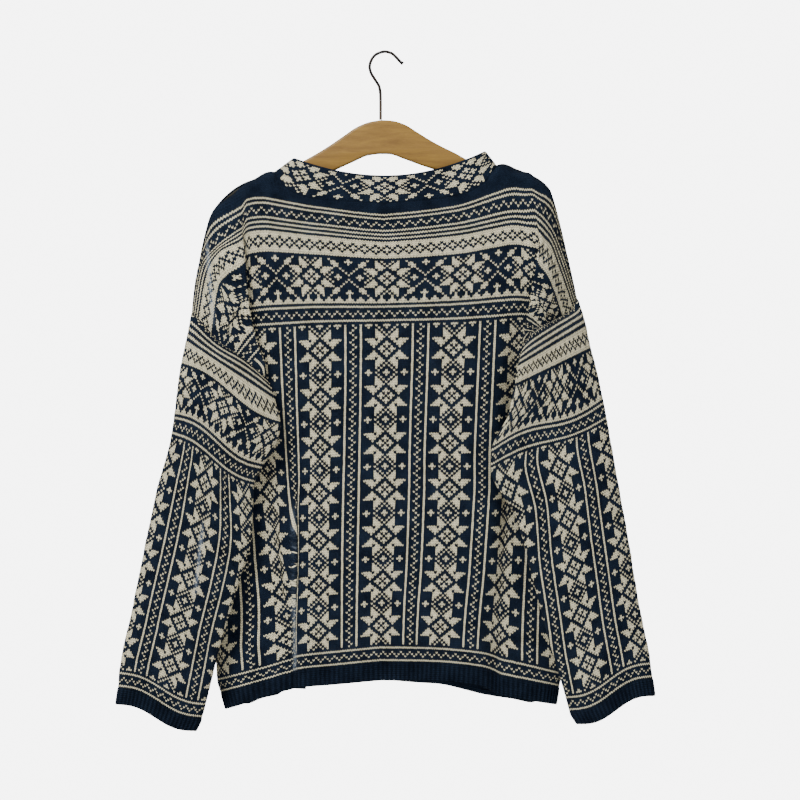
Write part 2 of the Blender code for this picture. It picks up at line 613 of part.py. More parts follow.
def ribbed_wall(shape, point_of, columns, rows, closed, hidden=()):
    """A wall whose outer face is raised at every other column, over a plain inner face."""

    def normal(column, row):
        step = columns[1] - columns[0]
        along = point_of(column + step / 2, row) - point_of(column - step / 2, row)
        down = point_of(column, row + 0.5) - point_of(column, row - 0.5)
        way = np.cross(along, down)
        return way / np.linalg.norm(way)

    def wall_points(picked, lift_of):
        return [
            [shape.verts.new((point_of(c, row) + normal(c, row) * lift_of(i)) * MM) for i, c in picked]
            for row in rows
        ]

    every = list(enumerate(columns))
    few = every[::RIB_SKIP]
    if not closed and few[-1] != every[-1]:
        few.append(every[-1])
    raised = [i % 2 == 1 and not any(low < columns[i] < high for low, high in hidden) for i, _ in every]
    outer = wall_points(every, lambda i: CLOTH / 2 + RIB_RAISE * raised[i])
    inner = wall_points(few, lambda i: -CLOTH / 2)
    turns = [i for i, _ in few]
    last = len(every) if closed else len(every) - 1

    def around(line, i):
        return line[i % len(line)]

    for upper, lower in zip(outer, outer[1:]):
        for i in range(last):
            shape.faces.new((around(upper, i), around(lower, i), around(lower, i + 1), around(upper, i + 1)))
    for upper, lower in zip(inner, inner[1:]):
        for i in range(len(few) if closed else len(few) - 1):
            shape.faces.new((around(upper, i + 1), around(lower, i + 1), around(lower, i), around(upper, i)))
    for edge in (0, -1):
        for k in range(len(few) if closed else len(few) - 1):
            begin = turns[k]
            end = turns[k + 1] if k + 1 < len(turns) else last
            for i in range(begin, end):
                shape.faces.new((around(inner[edge], k), around(outer[edge], i), around(outer[edge], i + 1)))
            shape.faces.new((around(inner[edge], k), around(outer[edge], end), around(inner[edge], k + 1)))
    if not closed:
        for end in (0, -1):
            for k in range(len(rows) - 1):
                shape.faces.new((outer[k][end], outer[k + 1][end], inner[k + 1][end], inner[k][end]))
    bmesh.ops.recalc_face_normals(shape, faces=shape.faces)
    if shape.calc_volume(signed=True) < 0:
        bmesh.ops.reverse_faces(shape, faces=shape.faces)


def between(marks, point_of, place, row):
    """A point on the straight line between the two marks around a place."""
    k = min(max(int(np.searchsorted(marks, place)), 1), len(marks) - 1)
    share = (place - marks[k - 1]) / (marks[k] - marks[k - 1])
    start = point_of(marks[k - 1], row)
    return start + (point_of(marks[k], row) - start) * share


def hem_mesh(panel):
    def make(shape):
        marks = panel_wales(panel, HEM_ROW)
        wales = list(np.linspace(-HALF_WALES, HALF_WALES, HEM_RIBS * 2 + 1))
        ribbed_wall(
            shape, lambda wale, row: between(marks, panel["point"], wale, row), wales,
            (HEM_ROW + panel["hemGap"], HEM_END_ROW), False, panel["hidden"],
        )

    return make


def cuff_mesh(side):
    def make(shape):
        marks = [k / SLEEVE_SIDES for k in range(-1, SLEEVE_SIDES + 2)]
        shares = [k / (CUFF_RIBS * 2) for k in range(CUFF_RIBS * 2)]

        def ring_point(share, row):
            return sleeve_point(side, row, share % 1.0)

        ribbed_wall(
            shape, lambda share, row: between(marks, ring_point, share, row), shares,
            (SLEEVE_END_ROW + 0.2, CUFF_END_ROW), True,
        )

    return make


def curve_object(name, points, home, flat):
    """A curve through points of (x, z) in the plane y = 0."""
    curve = bpy.data.curves.new(name, "CURVE")
    curve.dimensions = "2D" if flat else "3D"
    spline = curve.splines.new("POLY")
    spline.points.add(len(points) - 1)
    for place, (x, z) in zip(spline.points, points):
        place.co = (x * MM, z * MM, 0, 1)
    obj = bpy.data.objects.new(name, curve)
    obj.rotation_euler = (math.pi / 2, 0, 0)
    home.objects.link(obj)
    return obj, curve, spline


def hanger_wood(home):
    apex_x, apex_drop = HANGER["apex"]
    tilt = math.radians(HANGER["tilt"])
    top = np.asarray(WOOD_TOP, float)
    tops = [(x, float(smooth(top[:, 0], top[:, 1], x)[0])) for x in np.linspace(0, WOOD_TOP[-1][0], 18)]
    half = tops + list(WOOD_BOTTOM)
    outline = half + [(-x, drop) for x, drop in reversed(half) if x > 0]
    turned = [
        (apex_x + x * math.cos(tilt) - drop * math.sin(tilt), -apex_drop - drop * math.cos(tilt) + x * math.sin(tilt))
        for x, drop in outline
    ]
    obj, curve, spline = curve_object("hanger_wood", turned, home, True)
    spline.use_cyclic_u = True
    curve.fill_mode = "BOTH"
    curve.extrude = (HANGER["thick"] / 2 - HANGER["round"]) * MM
    curve.bevel_depth = HANGER["round"] * MM
    curve.bevel_resolution = 1
    curve.offset = -HANGER["round"] * MM
    finish(obj, "wood", 0.45, 0)
    return obj


def hanger_hook(home):
    places = np.asarray(HOOK, float)
    run = np.concatenate(([0], np.cumsum(np.linalg.norm(np.diff(places, axis=0), axis=1))))
    points = [tuple(smooth(run, places * (1, -1), s)) for s in np.linspace(0, run[-1], 34)]
    obj, curve, spline = curve_object("hanger_hook", points, home, False)
    spline.points[len(points) - 1].radius = 1.3
    curve.bevel_depth = WIRE / 2 * MM
    curve.bevel_resolution = 2
    curve.use_fill_caps = True
    finish(obj, "steel", 0.4, 1)
    return obj


def finish(obj, colour, roughness, metallic):
    material = bpy.data.materials.new(obj.name + "_finish")
    material.use_nodes = True
    shader = material.node_tree.nodes["Principled BSDF"]
    shader.inputs["Base Color"].default_value = COLOURS[colour]
    shader.inputs["Roughness"].default_value = roughness
    shader.inputs["Metallic"].default_value = metallic
    obj.data.materials.append(material)


def main():
    for obj in list(bpy.data.objects):
        bpy.data.objects.remove(obj, do_unlink=True)
    home = bpy.data.collections.new("sweater_on_hanger")
    bpy.context.scene.collection.children.link(home)

    thicken(new_object("front", panel_mesh(FRONT_PANEL), "cream", home), CLOTH)
    thicken(new_object("back", panel_mesh(BACK_PANEL), "navy", home), CLOTH)
    thicken(new_object("neck_band", neck_mesh, "navy", home), BAND_CLOTH)
    new_object("hem_rib_front", hem_mesh(FRONT_PANEL), "navy", home)
    new_object("hem_rib_back", hem_mesh(BACK_PANEL), "navy", home)
    for side in ("left", "right"):
        thicken(new_object("sleeve_" + side, sleeve_mesh(side), "navy", home), CLOTH)
        new_object("cuff_" + side, cuff_mesh(side), "navy", home)
    hanger_wood(home)
    hanger_hook(home)


main()
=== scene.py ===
# A two-colour wool sweater on a wooden hanger, dressed over its CAD frame.
# The origin is where the hook bears on its rail, +Z is up and the front faces -Y.
# Lengths in the tables are millimetres: out from the middle plane, drop below the origin, depth
# along Y. A wale is a column of stitches counted from the middle, a row a course of stitches
# counted down from the first cream line.

import math

import bpy
import numpy as np
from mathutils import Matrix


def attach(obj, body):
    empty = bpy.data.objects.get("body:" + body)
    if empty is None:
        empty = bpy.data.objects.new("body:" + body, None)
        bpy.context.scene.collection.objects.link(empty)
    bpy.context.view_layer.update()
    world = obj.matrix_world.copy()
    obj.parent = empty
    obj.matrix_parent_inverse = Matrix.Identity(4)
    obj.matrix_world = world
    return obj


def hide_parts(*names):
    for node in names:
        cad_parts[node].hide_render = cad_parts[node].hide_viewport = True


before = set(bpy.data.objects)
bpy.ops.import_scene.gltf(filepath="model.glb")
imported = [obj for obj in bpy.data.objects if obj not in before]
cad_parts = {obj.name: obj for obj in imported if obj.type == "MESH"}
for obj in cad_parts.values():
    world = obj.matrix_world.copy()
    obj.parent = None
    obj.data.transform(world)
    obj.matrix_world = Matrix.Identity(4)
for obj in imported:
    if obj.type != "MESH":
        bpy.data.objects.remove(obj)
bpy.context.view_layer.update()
print("frame loaded")

mm = 0.001
knit = {
    "thick": 2.6, "stitchWide": 3.4, "stitchHigh": 3.0, "halfWales": 97.5, "hemRow": 200.0,
    "firstRow": -13.5, "chevron": 0.42, "innerStep": 6, "shoulderRound": 13.0, "neckRound": 24.0,
    "uneven": 0.3, "palest": 0.84, "insideCream": 0.12, "wornWide": 2.2, "wornFade": 30.0,
    "seamApart": 0.2, "driftSettles": 18.0,
}

# The chest: the middle line, the depth of the front, and wales 26 and 52 on each side.
# Columns: row, middle, drop, depth, left26, left52, leftDrop, right26, right52, rightDrop.
chestTable = (
    (-12, -1, 182, 14, 93, 172, 146, 94, 173, 133), (-8, -1, 190, 15, 93, 173, 167, 93, 173, 154),
    (0, -1, 210, 16, 92, 175, 192, 92, 175, 179), (14, 2, 246, 19, 91, 175, 236, 93, 177, 228),
    (23, 3, 269, 21, 90, 175, 265, 94, 178, 253), (45, 2, 330, 23, 85, 170, 336, 90, 176, 321),
    (70, 1, 405, 24, 84, 165, 412, 87, 172, 397), (120, 0, 554, 26, 85, 149, 560, 79, 160, 550),
    (193, -5, 772, 28, 86, 124, 789, 69, 146, 787), (200, -5, 791, 28, 86, 124, 806, 69, 146, 808),
)

# The knife pleat on the left of the front, and the soft groove on the right.
pleat = {
    "wale": 37.5, "start": 112, "overHem": 15, "hiddenFirst": 2, "hidden": 12.5, "out": 116,
    "reach": 13, "step": 9, "backOut": 1, "nextWale": 1.5, "nextOut": 4, "nextUp": 2,
}
groove = {"start": 20, "full": 90, "deep": 17, "byNeck": 2}
chestMarks = {"inner": 26, "outer": 52, "last": 53, "lastOut": 3.2}  # wales, and mm past the outer one
fold = {"shoulderRow": 32, "settleFrom": 30, "settleOver": 15}

# The lines that shape each side of the front: where the cloth turns under the shoulder fold, where
# it turns back over the chest, two lines over the fold's flap, and the seam. Here and on the back
# the columns are row, wale, out, drop, depth.
frontLines = {
    "left": {
        "valley": (
            (-6, 57, 186, 177, -13), (8, 57, 185, 228, -17), (14, 58.5, 184, 241, -20),
            (23, 60.5, 189, 269, -22), (45, 68, 203, 347, -25), (60, 67, 209, 388, -25),
            (70, 67, 211, 419, -25), (82, 69, 207, 455, -25), (95, 72, 200, 492, -25),
            (108, 76, 206, 532, -23), (120, 79, 212, 574, -17), (135, 82, 219, 625, -8),
            (150, 83, 220, 675, -5), (193, 84, 217, 814, -2), (200, 84, 212, 831, -2),
        ),
        "ridge": (
            (-6, 60, 194, 182, -13), (8, 60, 191, 232, -18), (14, 61, 185, 245, -26),
            (23, 64, 181, 274, -33), (32, 74, 178, 311, -36), (45, 86, 169, 365, -38),
            (51, 90, 163, 384, -38), (60, 93, 155, 411, -38), (70, 92, 157, 437, -30),
            (82, 92, 190, 462, -29), (95, 86, 206, 497, -26), (108, 88, 213, 537, -22),
            (120, 88, 219, 580, -12), (135, 89, 222.5, 632, -2), (150, 90, 219.5, 678, 5),
            (193, 91, 212, 812, 8), (200, 91, 207, 829, 8),
        ),
        "shoulder": (
            (-3.5, 69, 225, 210, -9), (8, 69, 218, 252, -15), (14, 70, 212, 259, -23),
            (23, 72, 204, 292, -32), (32, 80, 189, 329, -38),
        ),
        "flap": (
            (0.5, 78, 235, 251, 0), (8, 78, 237, 275, -9), (14, 79, 228, 283, -17),
            (23, 80, 213, 302, -28), (32, 86, 198, 345, -36),
        ),
        "seam": (
            (7, 97.5, 251, 340, 0), (14, 97.5, 241, 348, -9), (23, 97.5, 224, 367, -20),
            (32, 97.5, 210, 381, -28), (45, 97.5, 192, 394, -35), (51, 97.5, 180, 404, -37),
            (60, 97.5, 165, 417, -37), (70, 97.5, 148, 438, -31.5), (82, 97.5, 182, 470, -30),
            (95, 97.5, 212, 505, -27), (108, 97.5, 219, 545, -17), (120, 97.5, 223, 588, -5),
            (135, 97.5, 223, 640, 4), (150, 97.5, 216, 682, 12), (193, 97.5, 200, 806, 17),
            (200, 97.5, 197, 824, 17),
        ),
    },
    "right": {
        "valley": (
            (-6, 57, 187, 159, -13), (8, 57, 193, 205, -17), (14, 58.5, 199, 231, -20),
            (23, 60.5, 204, 261, -22), (45, 68, 212, 329, -25), (60, 67, 215, 370, -25),
            (70, 66, 216, 402, -25), (82, 69, 213, 438, -25), (95, 72, 206, 477, -25),
            (108, 76, 212, 515, -23), (120, 79, 219, 555, -17), (135, 82, 225, 605, -8),
            (150, 83, 227, 656, -5), (193, 84.5, 228, 806, -2), (200, 84.5, 225, 824, -2),
        ),
        "ridge": (
            (-6, 60, 195, 163, -13), (8, 60, 200, 210, -18), (14, 61, 202, 238, -26),
            (23, 64, 197, 272, -33), (32, 74, 191, 306, -36), (45, 86, 184, 346, -38),
            (51, 90, 181, 360, -38), (60, 93, 178, 374, -38), (70, 92, 186, 390, -30),
            (82, 92, 203, 436, -29), (95, 86, 212, 480, -26), (108, 88, 219, 520, -22),
            (120, 88, 226, 562, -12), (135, 89, 229.5, 613, -2), (150, 90, 227.5, 660, 5),
            (193, 91, 221, 803, 8), (200, 91, 217, 821, 8),
        ),
        "shoulder": (
            (-3.5, 69, 212, 176, -9), (8, 69, 215, 228, -15), (14, 70, 214, 253, -23),
            (23, 72, 209, 291, -32), (32, 80, 200, 320, -38),
        ),
        "flap": (
            (0.5, 78, 230, 236, 0), (8, 78, 228, 258, -10), (14, 79, 224, 279, -18),
            (23, 80, 218, 311, -28), (32, 86, 206, 333, -36),
        ),
        "seam": (
            (7, 97.5, 249, 320, 0), (14, 97.5, 244, 334, -9), (23, 97.5, 229, 344, -20),
            (32, 97.5, 215, 350, -28), (45, 97.5, 200, 357, -35), (51, 97.5, 193, 362, -37),
            (60, 97.5, 184, 374, -37), (70, 97.5, 178, 392, -31.5), (82, 97.5, 197, 442, -30),
            (95, 97.5, 218, 488, -27), (108, 97.5, 225, 527, -17), (120, 97.5, 230, 570, -5),
            (135, 97.5, 230, 620, 4), (150, 97.5, 224, 664, 12), (193, 97.5, 210, 800, 17),
            (200, 97.5, 206, 818, 17),
        ),
    },
}

# The back hangs straight, in soft folds, and its sides come forward under the arms.
backLines = {
    "left": {
        "shoulder": (
            (-3.5, 69, 225, 210, 11), (14, 66, 212, 256, 15), (45, 64, 214, 350, 19),
            (70, 64, 216, 420, 12), (95, 64, 212, 492, 14), (120, 64, 202, 573, 20),
            (200, 62, 146, 809.5, 27),
        ),
        "side": (
            (-1.5, 73, 231, 229, 7), (14, 74, 228, 282, 14), (45, 73, 229, 366, 13),
            (60, 73, 232, 396, -4), (70, 73, 232, 422, -19), (82, 73, 231, 458, -15),
            (95, 73, 229, 496, -4), (120, 73, 222, 577, 12), (150, 73, 200, 676, 22),
            (200, 72, 166, 815, 27),
        ),
        "flap": (
            (3, 84, 241, 272, 0), (14, 85, 240, 308, 11), (45, 86, 232, 384, 6), (51, 86, 234, 394, -2),
            (60, 86, 228, 410, -24), (70, 85, 205, 430, -36), (82, 85, 211, 464, -34),
            (95, 85, 225, 503, -20), (108, 85, 226, 543, -6), (120, 85, 225, 582, 6),
            (135, 85, 222, 630, 13), (150, 85, 210, 679, 17), (200, 85, 184, 822, 24),
        ),
        "seam": (
            (7, 97.5, 251, 340, 0), (14, 97.5, 248, 350, 8), (23, 97.5, 243, 364, 12),
            (32, 97.5, 237, 378, 11), (45, 97.5, 233, 396, -2), (51, 97.5, 230, 405, -16),
            (60, 97.5, 205, 420, -34), (70, 97.5, 148, 438, -35.5), (82, 97.5, 182, 470, -34.5),
            (95, 97.5, 213, 505, -31), (108, 97.5, 219.5, 545, -16.6), (120, 97.5, 223, 588, -4.6),
            (135, 97.5, 223, 640, 4.4), (150, 97.5, 215.7, 682, 12.4), (193, 97.5, 199.6, 806, 17.3),
            (200, 97.5, 196.6, 824, 17.3),
        ),
    },
    "right": {
        "shoulder": (
            (-3.5, 69, 212, 176, 11), (14, 66, 212, 234, 15), (45, 64, 217, 330, 19),
            (70, 64, 220, 402, 12), (95, 64, 216, 476, 14), (120, 64, 208, 556, 20),
            (200, 62, 150, 810, 27),
        ),
        "side": (
            (-1.5, 73, 219, 196, 7), (14, 74, 227, 258, 14), (45, 73, 231, 344, 13),
            (60, 73, 236, 380, -4), (70, 73, 237, 405, -19), (82, 73, 236, 440, -15),
            (95, 73, 234, 480, -4), (120, 73, 228, 560, 12), (150, 73, 208, 657, 22),
            (200, 72, 172, 813, 27),
        ),
        "flap": (
            (3, 84, 236, 262, 0), (14, 85, 238, 292, 11), (45, 86, 237, 362, 6), (51, 86, 238, 370, -2),
            (60, 86, 232, 382, -24), (70, 85, 212, 398, -36), (82, 85, 219, 440, -34),
            (95, 85, 230, 486, -20), (108, 85, 233, 527, -6), (120, 85, 232, 566, 6),
            (135, 85, 229, 614, 13), (150, 85, 218, 661, 17), (200, 85, 194, 818, 24),
        ),
        "seam": (
            (7, 97.5, 249, 320, 0), (14, 97.5, 248, 336, 8), (23, 97.5, 245, 348, 12),
            (32, 97.5, 240, 360, 11), (45, 97.5, 238, 372, -2), (51, 97.5, 234, 378, -16),
            (60, 97.5, 212, 384, -34), (70, 97.5, 178, 392, -35.5), (82, 97.5, 197, 442, -34.5),
            (95, 97.5, 219, 488, -31), (108, 97.5, 225.5, 527, -16.6), (120, 97.5, 230, 570, -4.6),
            (135, 97.5, 230, 620, 4.4), (150, 97.5, 223.7, 664, 12.4), (193, 97.5, 209.6, 800, 17.3),
            (200, 97.5, 205.6, 818, 17.3),
        ),
    },
}
backFall = {
    "depthTop": 15, "depthHem": 27, "depthFrom": 10, "depthOver": 150, "drop": 1.5,
    "narrow": 0.28, "narrowFrom": 70, "narrowOver": 130, "wideFrom": 10, "wideOver": 60,
    "folds": 3.5, "foldDeep": 9, "foldFrom": 45, "foldOver": 110, "foldEnds": 3, "foldPhase": 0.6,
}

# Each sleeve's sections: its outer edge, its inner edge, and how far the cloth stands to the front
# and to the back between them. Columns: row, outerOut, outerDrop, outerDepth, innerOut, innerDrop,
# innerDepth, front, back, sag.
sleeveRings = {
    "left": (
        (14, 257, 376, -22, 142, 452, -46, 13, 1, 0), (23, 263, 405, -27, 135, 481, -47, 13, 2, -6),
        (32, 267, 432, -30, 138, 500, -47, 13, 2, -8), (45, 272, 474, -32, 160, 538, -46, 13, 3, -7),
        (53, 276, 500, -33, 170, 562, -45, 13, 3, -5), (75, 294, 567, -36, 173, 625, -42, 13, 4, -4),
        (100, 310, 642, -38, 191, 692, -40, 13, 5, -4), (130, 328, 730, -38, 216, 775, -39, 12, 6, -4),
        (155, 343, 804, -38, 233, 844, -38, 12, 7, -5), (162, 344, 823, -38, 238, 862, -38, 12, 7, -5),
        (170, 347, 845, -38, 246, 879, -38, 12, 7, -5),
    ),
    "right": (
        (14, 260, 357, -22, 172, 409, -46, 13, 1, 0), (23, 266, 385, -27, 168, 432, -47, 13, 2, 0),
        (32, 273, 412, -30, 160, 470, -47, 13, 2, 3), (45, 282, 455, -32, 139, 516, -46, 14, 3, 6),
        (53, 287, 480, -33, 138, 540, -45, 15, 3, 4), (75, 299, 548, -36, 171, 604, -42, 16, 4, 0),
        (100, 313, 625, -38, 191, 678, -40, 15, 5, -2), (130, 328, 716, -38, 214, 764, -39, 12, 6, -4),
        (155, 343, 792, -38, 235, 835, -38, 12, 7, -6), (162, 345, 811, -38, 240, 853, -38, 12, 7, -6),
        (170, 348, 834, -38, 250, 870, -38, 12, 7, -6),
    ),
}

# The neck: half its wales, how far it stands off the middle plane, the ends of its folded edge on
# each side (out, drop), the edge's lowest drop in front, and how much lower it is behind.
neckShape = {
    "wale": 42.3, "deep": 15.2, "left": (117, 137), "right": (129, 128), "dip": 159.5, "backDip": 2.5,
    "lean": 2.0, "square": 8, "outCurve": 0.96, "riseCurve": 1.9,
}

# The first row of the front and of the back at each wale, along the neck and the shoulder.
# Columns: wale, row.
topEdge = (
    (0, -5.5), (28, -6.5), (37.5, -9), (42.3, -12.5), (52, -8), (60, -6), (69, -3.5), (78, 0.5),
    (88, 4.5), (97.5, 7),
)

# How far the knitting of the front lies to the right and down from even rows, in millimetres, at
# wales -44, -26, 0, 26 and 44 of some rows.
frontDriftWales = (-54, -44, -26, 0, 26, 44, 54)
frontDriftDown = (
    (-3, -7.2, -5.0, 1.3, -2.2, -7.5), (9, -6.5, -4.6, 1.3, -2.6, -5.4),
    (19, -6.2, -4.4, 0.6, -2.2, -5.0), (29, -4.8, -3.2, 0, -1.8, -4.0), (40, -2.6, -1.8, 0, -1.4, -2.6),
    (53, 0, 0, 0, 0, 0), (64, 1.3, 1.3, 0.6, 1.3, 2.6), (84, 5.2, 4.6, 1.4, 3.4, 5.4),
    (105, 7.8, 7.6, 3.2, 4.9, 6.5), (136, 7.6, 7.8, 3.9, 4.2, 5.4), (156, 4.4, 4.6, 1.9, 1.3, 2.8),
    (177, 2.6, 2.6, -0.6, -1.3, -1.0), (200, 3.2, 3.2, -0.6, -3.4, -5.2),
)
frontDriftRight = (
    (-3, 0, 0, 0, 0, 0), (29, 0, -0.6, 0, 1.3, 1.3), (64, 0, 0, 1.0, 1.3, 1.3),
    (105, 0, 0.6, 0, 2.6, 3.9), (125, 0, 0, 0, 5.0, 7.2), (156, 0, 0, 0.4, 5.6, 7.6),
    (177, 0, 0, 0, 3.0, 5.2), (200, 0, 0, 0, 0.3, 2.6),
)

# The star band, one set of cream stitches for each row away from its middle (28 wales to a repeat),
# and the star columns, one for each row away from a star's middle (26 wales to a repeat).
starBand = (
    {1, 2, 3, 6, 9, 10, 11}, {0, 2, 5, 7, 10, 14}, {0, 1, 4, 5, 6, 8, 13}, {0, 4, 5, 6, 7, 12},
    {2, 3, 5, 6, 7, 8, 11}, {1, 2, 3, 4, 9, 10}, {0, 2, 3, 4, 8, 9, 10, 14}, {1, 3, 4, 8, 9, 13, 14},
    {2, 4, 7, 14},
)
starColumn = (
    {1, 2, 3}, {0, 2, 5}, {0, 1, 4, 5, 6}, {0, 3, 4, 5, 6, 7}, {2, 3, 5, 6, 7, 8}, {1, 2, 3, 4},
    {0, 2, 3, 4}, {1, 3, 4}, {2, 4}, {0, 3, 7}, {0, 1, 4, 6, 7, 8},
)
plainCream = {0, 2, 8, 10, 12, 14, 15, 21, 22, 43, 45, 51, 193, 199}
zigzagStarts = (4, 47, 195)
bands = {
    "starMiddle": 32, "starReach": 8, "starRepeat": 28, "columnFirst": 53, "columnLast": 191,
    "columnMiddle": 63, "columnRepeat": 26, "columnHigh": 20, "lineWale": 10, "twistWale": 12,
    "diamonds": 18, "diamondReach": 2, "dots": 41, "teeth": 42, "sleeveFirst": 3, "sleeveHem": 153,
    "sleeveSkips": 38,
}


def folded(wale, repeat):
    place = wale % repeat
    return min(place, repeat - place)


def creamBody(wale, row):
    if row in plainCream:
        return True
    for start in zigzagStarts:
        if start <= row < start + 3:
            return (wale % 4 == 1, wale % 2 == 0, wale % 4 == 3)[row - start]
    if abs(row - bands["diamonds"]) <= bands["diamondReach"]:
        return folded(wale, 4) != bands["diamondReach"] - abs(row - bands["diamonds"])
    if abs(row - bands["starMiddle"]) <= bands["starReach"]:
        return folded(wale, bands["starRepeat"]) in starBand[abs(row - bands["starMiddle"])]
    if row == bands["dots"]:
        return wale % 4 == 2
    if row == bands["teeth"]:
        return wale % 4 != 0
    if bands["columnFirst"] <= row <= bands["columnLast"]:
        repeat, high = bands["columnRepeat"], bands["columnHigh"]
        place, phase = folded(wale, repeat), (row - bands["columnMiddle"]) % high
        if place == bands["lineWale"]:
            return True
        if place >= bands["twistWale"]:
            return wale % repeat == {1: 12, 2: 13, 3: 14, 0: 13}[phase % 4]
        return place in starColumn[min(phase, high - phase)]
    return False


def creamSleeve(wale, row):
    # the sleeve has the body's bands, with fewer rows of columns
    if row < bands["sleeveFirst"]:
        return False
    if row > bands["sleeveHem"]:
        row += bands["sleeveSkips"]
    return creamBody(wale, row)


def creamNeck(wale, row):
    return abs(row) <= bands["starReach"] and folded(wale, bands["starRepeat"]) in starBand[abs(row)]


def smooth(knots, values, at):
    # a curve through the values that never overshoots them
    knots = np.asarray(knots, float)
    values = np.asarray(values, float)
    if values.ndim == 1:
        values = values[:, None]
    span = np.diff(knots)
    slope = np.diff(values, axis=0) / span[:, None]
    bend = np.zeros_like(values)
    w1 = (2 * span[1:] + span[:-1])[:, None]
    w2 = (span[1:] + 2 * span[:-1])[:, None]
    same = slope[:-1] * slope[1:] > 0
    safe = np.where(same, slope[:-1] * slope[1:], 1.0)
    bend[1:-1] = np.where(same, (w1 + w2) * safe / (w1 * slope[1:] + w2 * slope[:-1] + (~same)), 0.0)
    bend[0], bend[-1] = slope[0], slope[-1]
    at = np.asarray(at, float)
    i = np.clip(np.searchsorted(knots, at, side="right") - 1, 0, len(span) - 1)
    u = np.clip((at - knots[i]) / span[i], 0, 1)[..., None]
    h = span[i][..., None]
    inside = (
        values[i] * (1 - u) ** 2 * (1 + 2 * u) + values[i + 1] * u**2 * (3 - 2 * u)
        + h * bend[i] * u * (1 - u) ** 2 - h * bend[i + 1] * u**2 * (1 - u)
    )
    before = np.minimum(at - knots[0], 0)[..., None] * bend[0]
    after = np.maximum(at - knots[-1], 0)[..., None] * bend[-1]
    return inside + before + after


def read(table, row):
    table = np.asarray(table, float)
    return smooth(table[:, 0], table[:, 1:], row)


def ease(x):
    x = np.clip(x, 0.0, 1.0)
    return x * x * (3 - 2 * x)


def topRow(wale):
    table = np.asarray(topEdge, float)
    return smooth(table[:, 0], table[:, 1], np.abs(wale))[..., 0]


def neckDepth(wale):
    share = np.minimum(np.abs(wale) / neckShape["wale"], 1.0)
    return neckShape["deep"] * np.sqrt(1 - share ** neckShape["square"])


def frontKnots(side, row):
    sign = -1 if side == "left" else 1
    middle, drop, depth, l26, l52, lDrop, r26, r52, rDrop = read(chestTable, row)
    out26, out52, drop52 = (l26, l52, lDrop) if side == "left" else (r26, r52, rDrop)
    inner, outer = chestMarks["inner"], chestMarks["outer"]
    knots = [(0, middle * sign, drop, -depth)]

    def chestPoint(wale):
        out = float(smooth((0, inner, outer), (middle * sign, out26, out52), wale)[0])
        return out, drop + (drop52 - drop) * (wale / outer) ** 2

    knots.append((inner, *chestPoint(inner), -depth))
    turned = ease((row - groove["start"]) / (groove["full"] - groove["start"]))
    if side == "left":
        foldAmount = ease((row - pleat["start"]) / (knit["hemRow"] - pleat["overHem"] - pleat["start"]))
        hidden = pleat["hiddenFirst"] + (pleat["hidden"] - pleat["hiddenFirst"]) * foldAmount
        places = (
            (0.0, pleat["out"], 0), (0.5, pleat["out"] - pleat["reach"], 0.5),
            (1.0, pleat["out"] + pleat["backOut"], 1),
        )
        for share, out, step in places:
            flatOut, flatDrop = chestPoint(pleat["wale"] + pleat["hiddenFirst"] * share)
            knots.append((
                pleat["wale"] + hidden * share, flatOut + (out - flatOut) * foldAmount,
                flatDrop + step * foldAmount, -depth + pleat["step"] * step * foldAmount,
            ))
        foldEnd = knots[-1]
        beside = neckShape["wale"] + (foldEnd[0] + pleat["nextWale"] - neckShape["wale"]) * foldAmount
        flatOut, flatDrop = chestPoint(beside)
        nextOut = flatOut + (foldEnd[1] + pleat["nextOut"] - flatOut) * foldAmount
        knots.append((beside, nextOut, flatDrop - pleat["nextUp"] * foldAmount, foldEnd[3]))
        behind = -depth + pleat["step"] * foldAmount
        knots.append((chestMarks["last"], out52 + chestMarks["lastOut"], drop52, behind))
    else:
        neck = neckShape["wale"]
        knots.append((neck, *chestPoint(neck), -depth + groove["byNeck"] * turned))
        knots.append((outer, out52, drop52, -depth + groove["deep"] * turned))
    lines = frontLines[side]
    valley, ridge, seam = (read(lines[name], row) for name in ("valley", "ridge", "seam"))
    knots.append(tuple(valley))
    knots.append(tuple(ridge))
    late = ease((row - fold["settleFrom"]) / fold["settleOver"])
    for share, name in ((1 / 3, "shoulder"), (2 / 3, "flap")):
        early = read(lines[name], min(row, fold["shoulderRow"]))
        knots.append(tuple(early + (ridge + (seam - ridge) * share - early) * late))
    knots.append(tuple(seam))
    return np.array([(wale, sign * out, depthAt, -dropAt) for wale, out, dropAt, depthAt in knots])


def backKnots(side, row):
    sign = -1 if side == "left" else 1
    middle, drop, _, l26, l52, lDrop, r26, r52, rDrop = read(chestTable, row)
    out26, out52, drop52 = (l26, l52, lDrop) if side == "left" else (r26, r52, rDrop)
    inner, outer, last = chestMarks["inner"], chestMarks["outer"], chestMarks["last"]
    neck = neckShape["wale"]
    down = ease((row - backFall["depthFrom"]) / backFall["depthOver"])
    depth = backFall["depthTop"] + (backFall["depthHem"] - backFall["depthTop"]) * down
    narrower = ease((row - backFall["narrowFrom"]) / backFall["narrowOver"])
    wide = knit["stitchWide"] * (1 - backFall["narrow"] * narrower)
    even = ease((row - backFall["wideFrom"]) / backFall["wideOver"])
    drop += backFall["drop"]
    knots = [(0, middle * sign, drop, depth)]
    step = (drop52 - drop) / outer**2
    knots.append((inner, inner * wide, drop + step * inner**2, depth))
    outNeck = float(smooth((0, inner, outer), (middle * sign, out26, out52), neck)[0])
    outNeck += (neck * wide - outNeck) * even
    knots.append((neck, outNeck, drop + step * neck**2, depth))
    outSide = out52 + chestMarks["lastOut"]
    outSide += (last * wide - outSide) * even
    knots.append((last, outSide, drop + step * last**2, depth))
    knots += [tuple(read(backLines[side][name], row)) for name in ("shoulder", "side", "flap", "seam")]
    return np.array([(wale, sign * out, depthAt, -dropAt) for wale, out, dropAt, depthAt in knots])


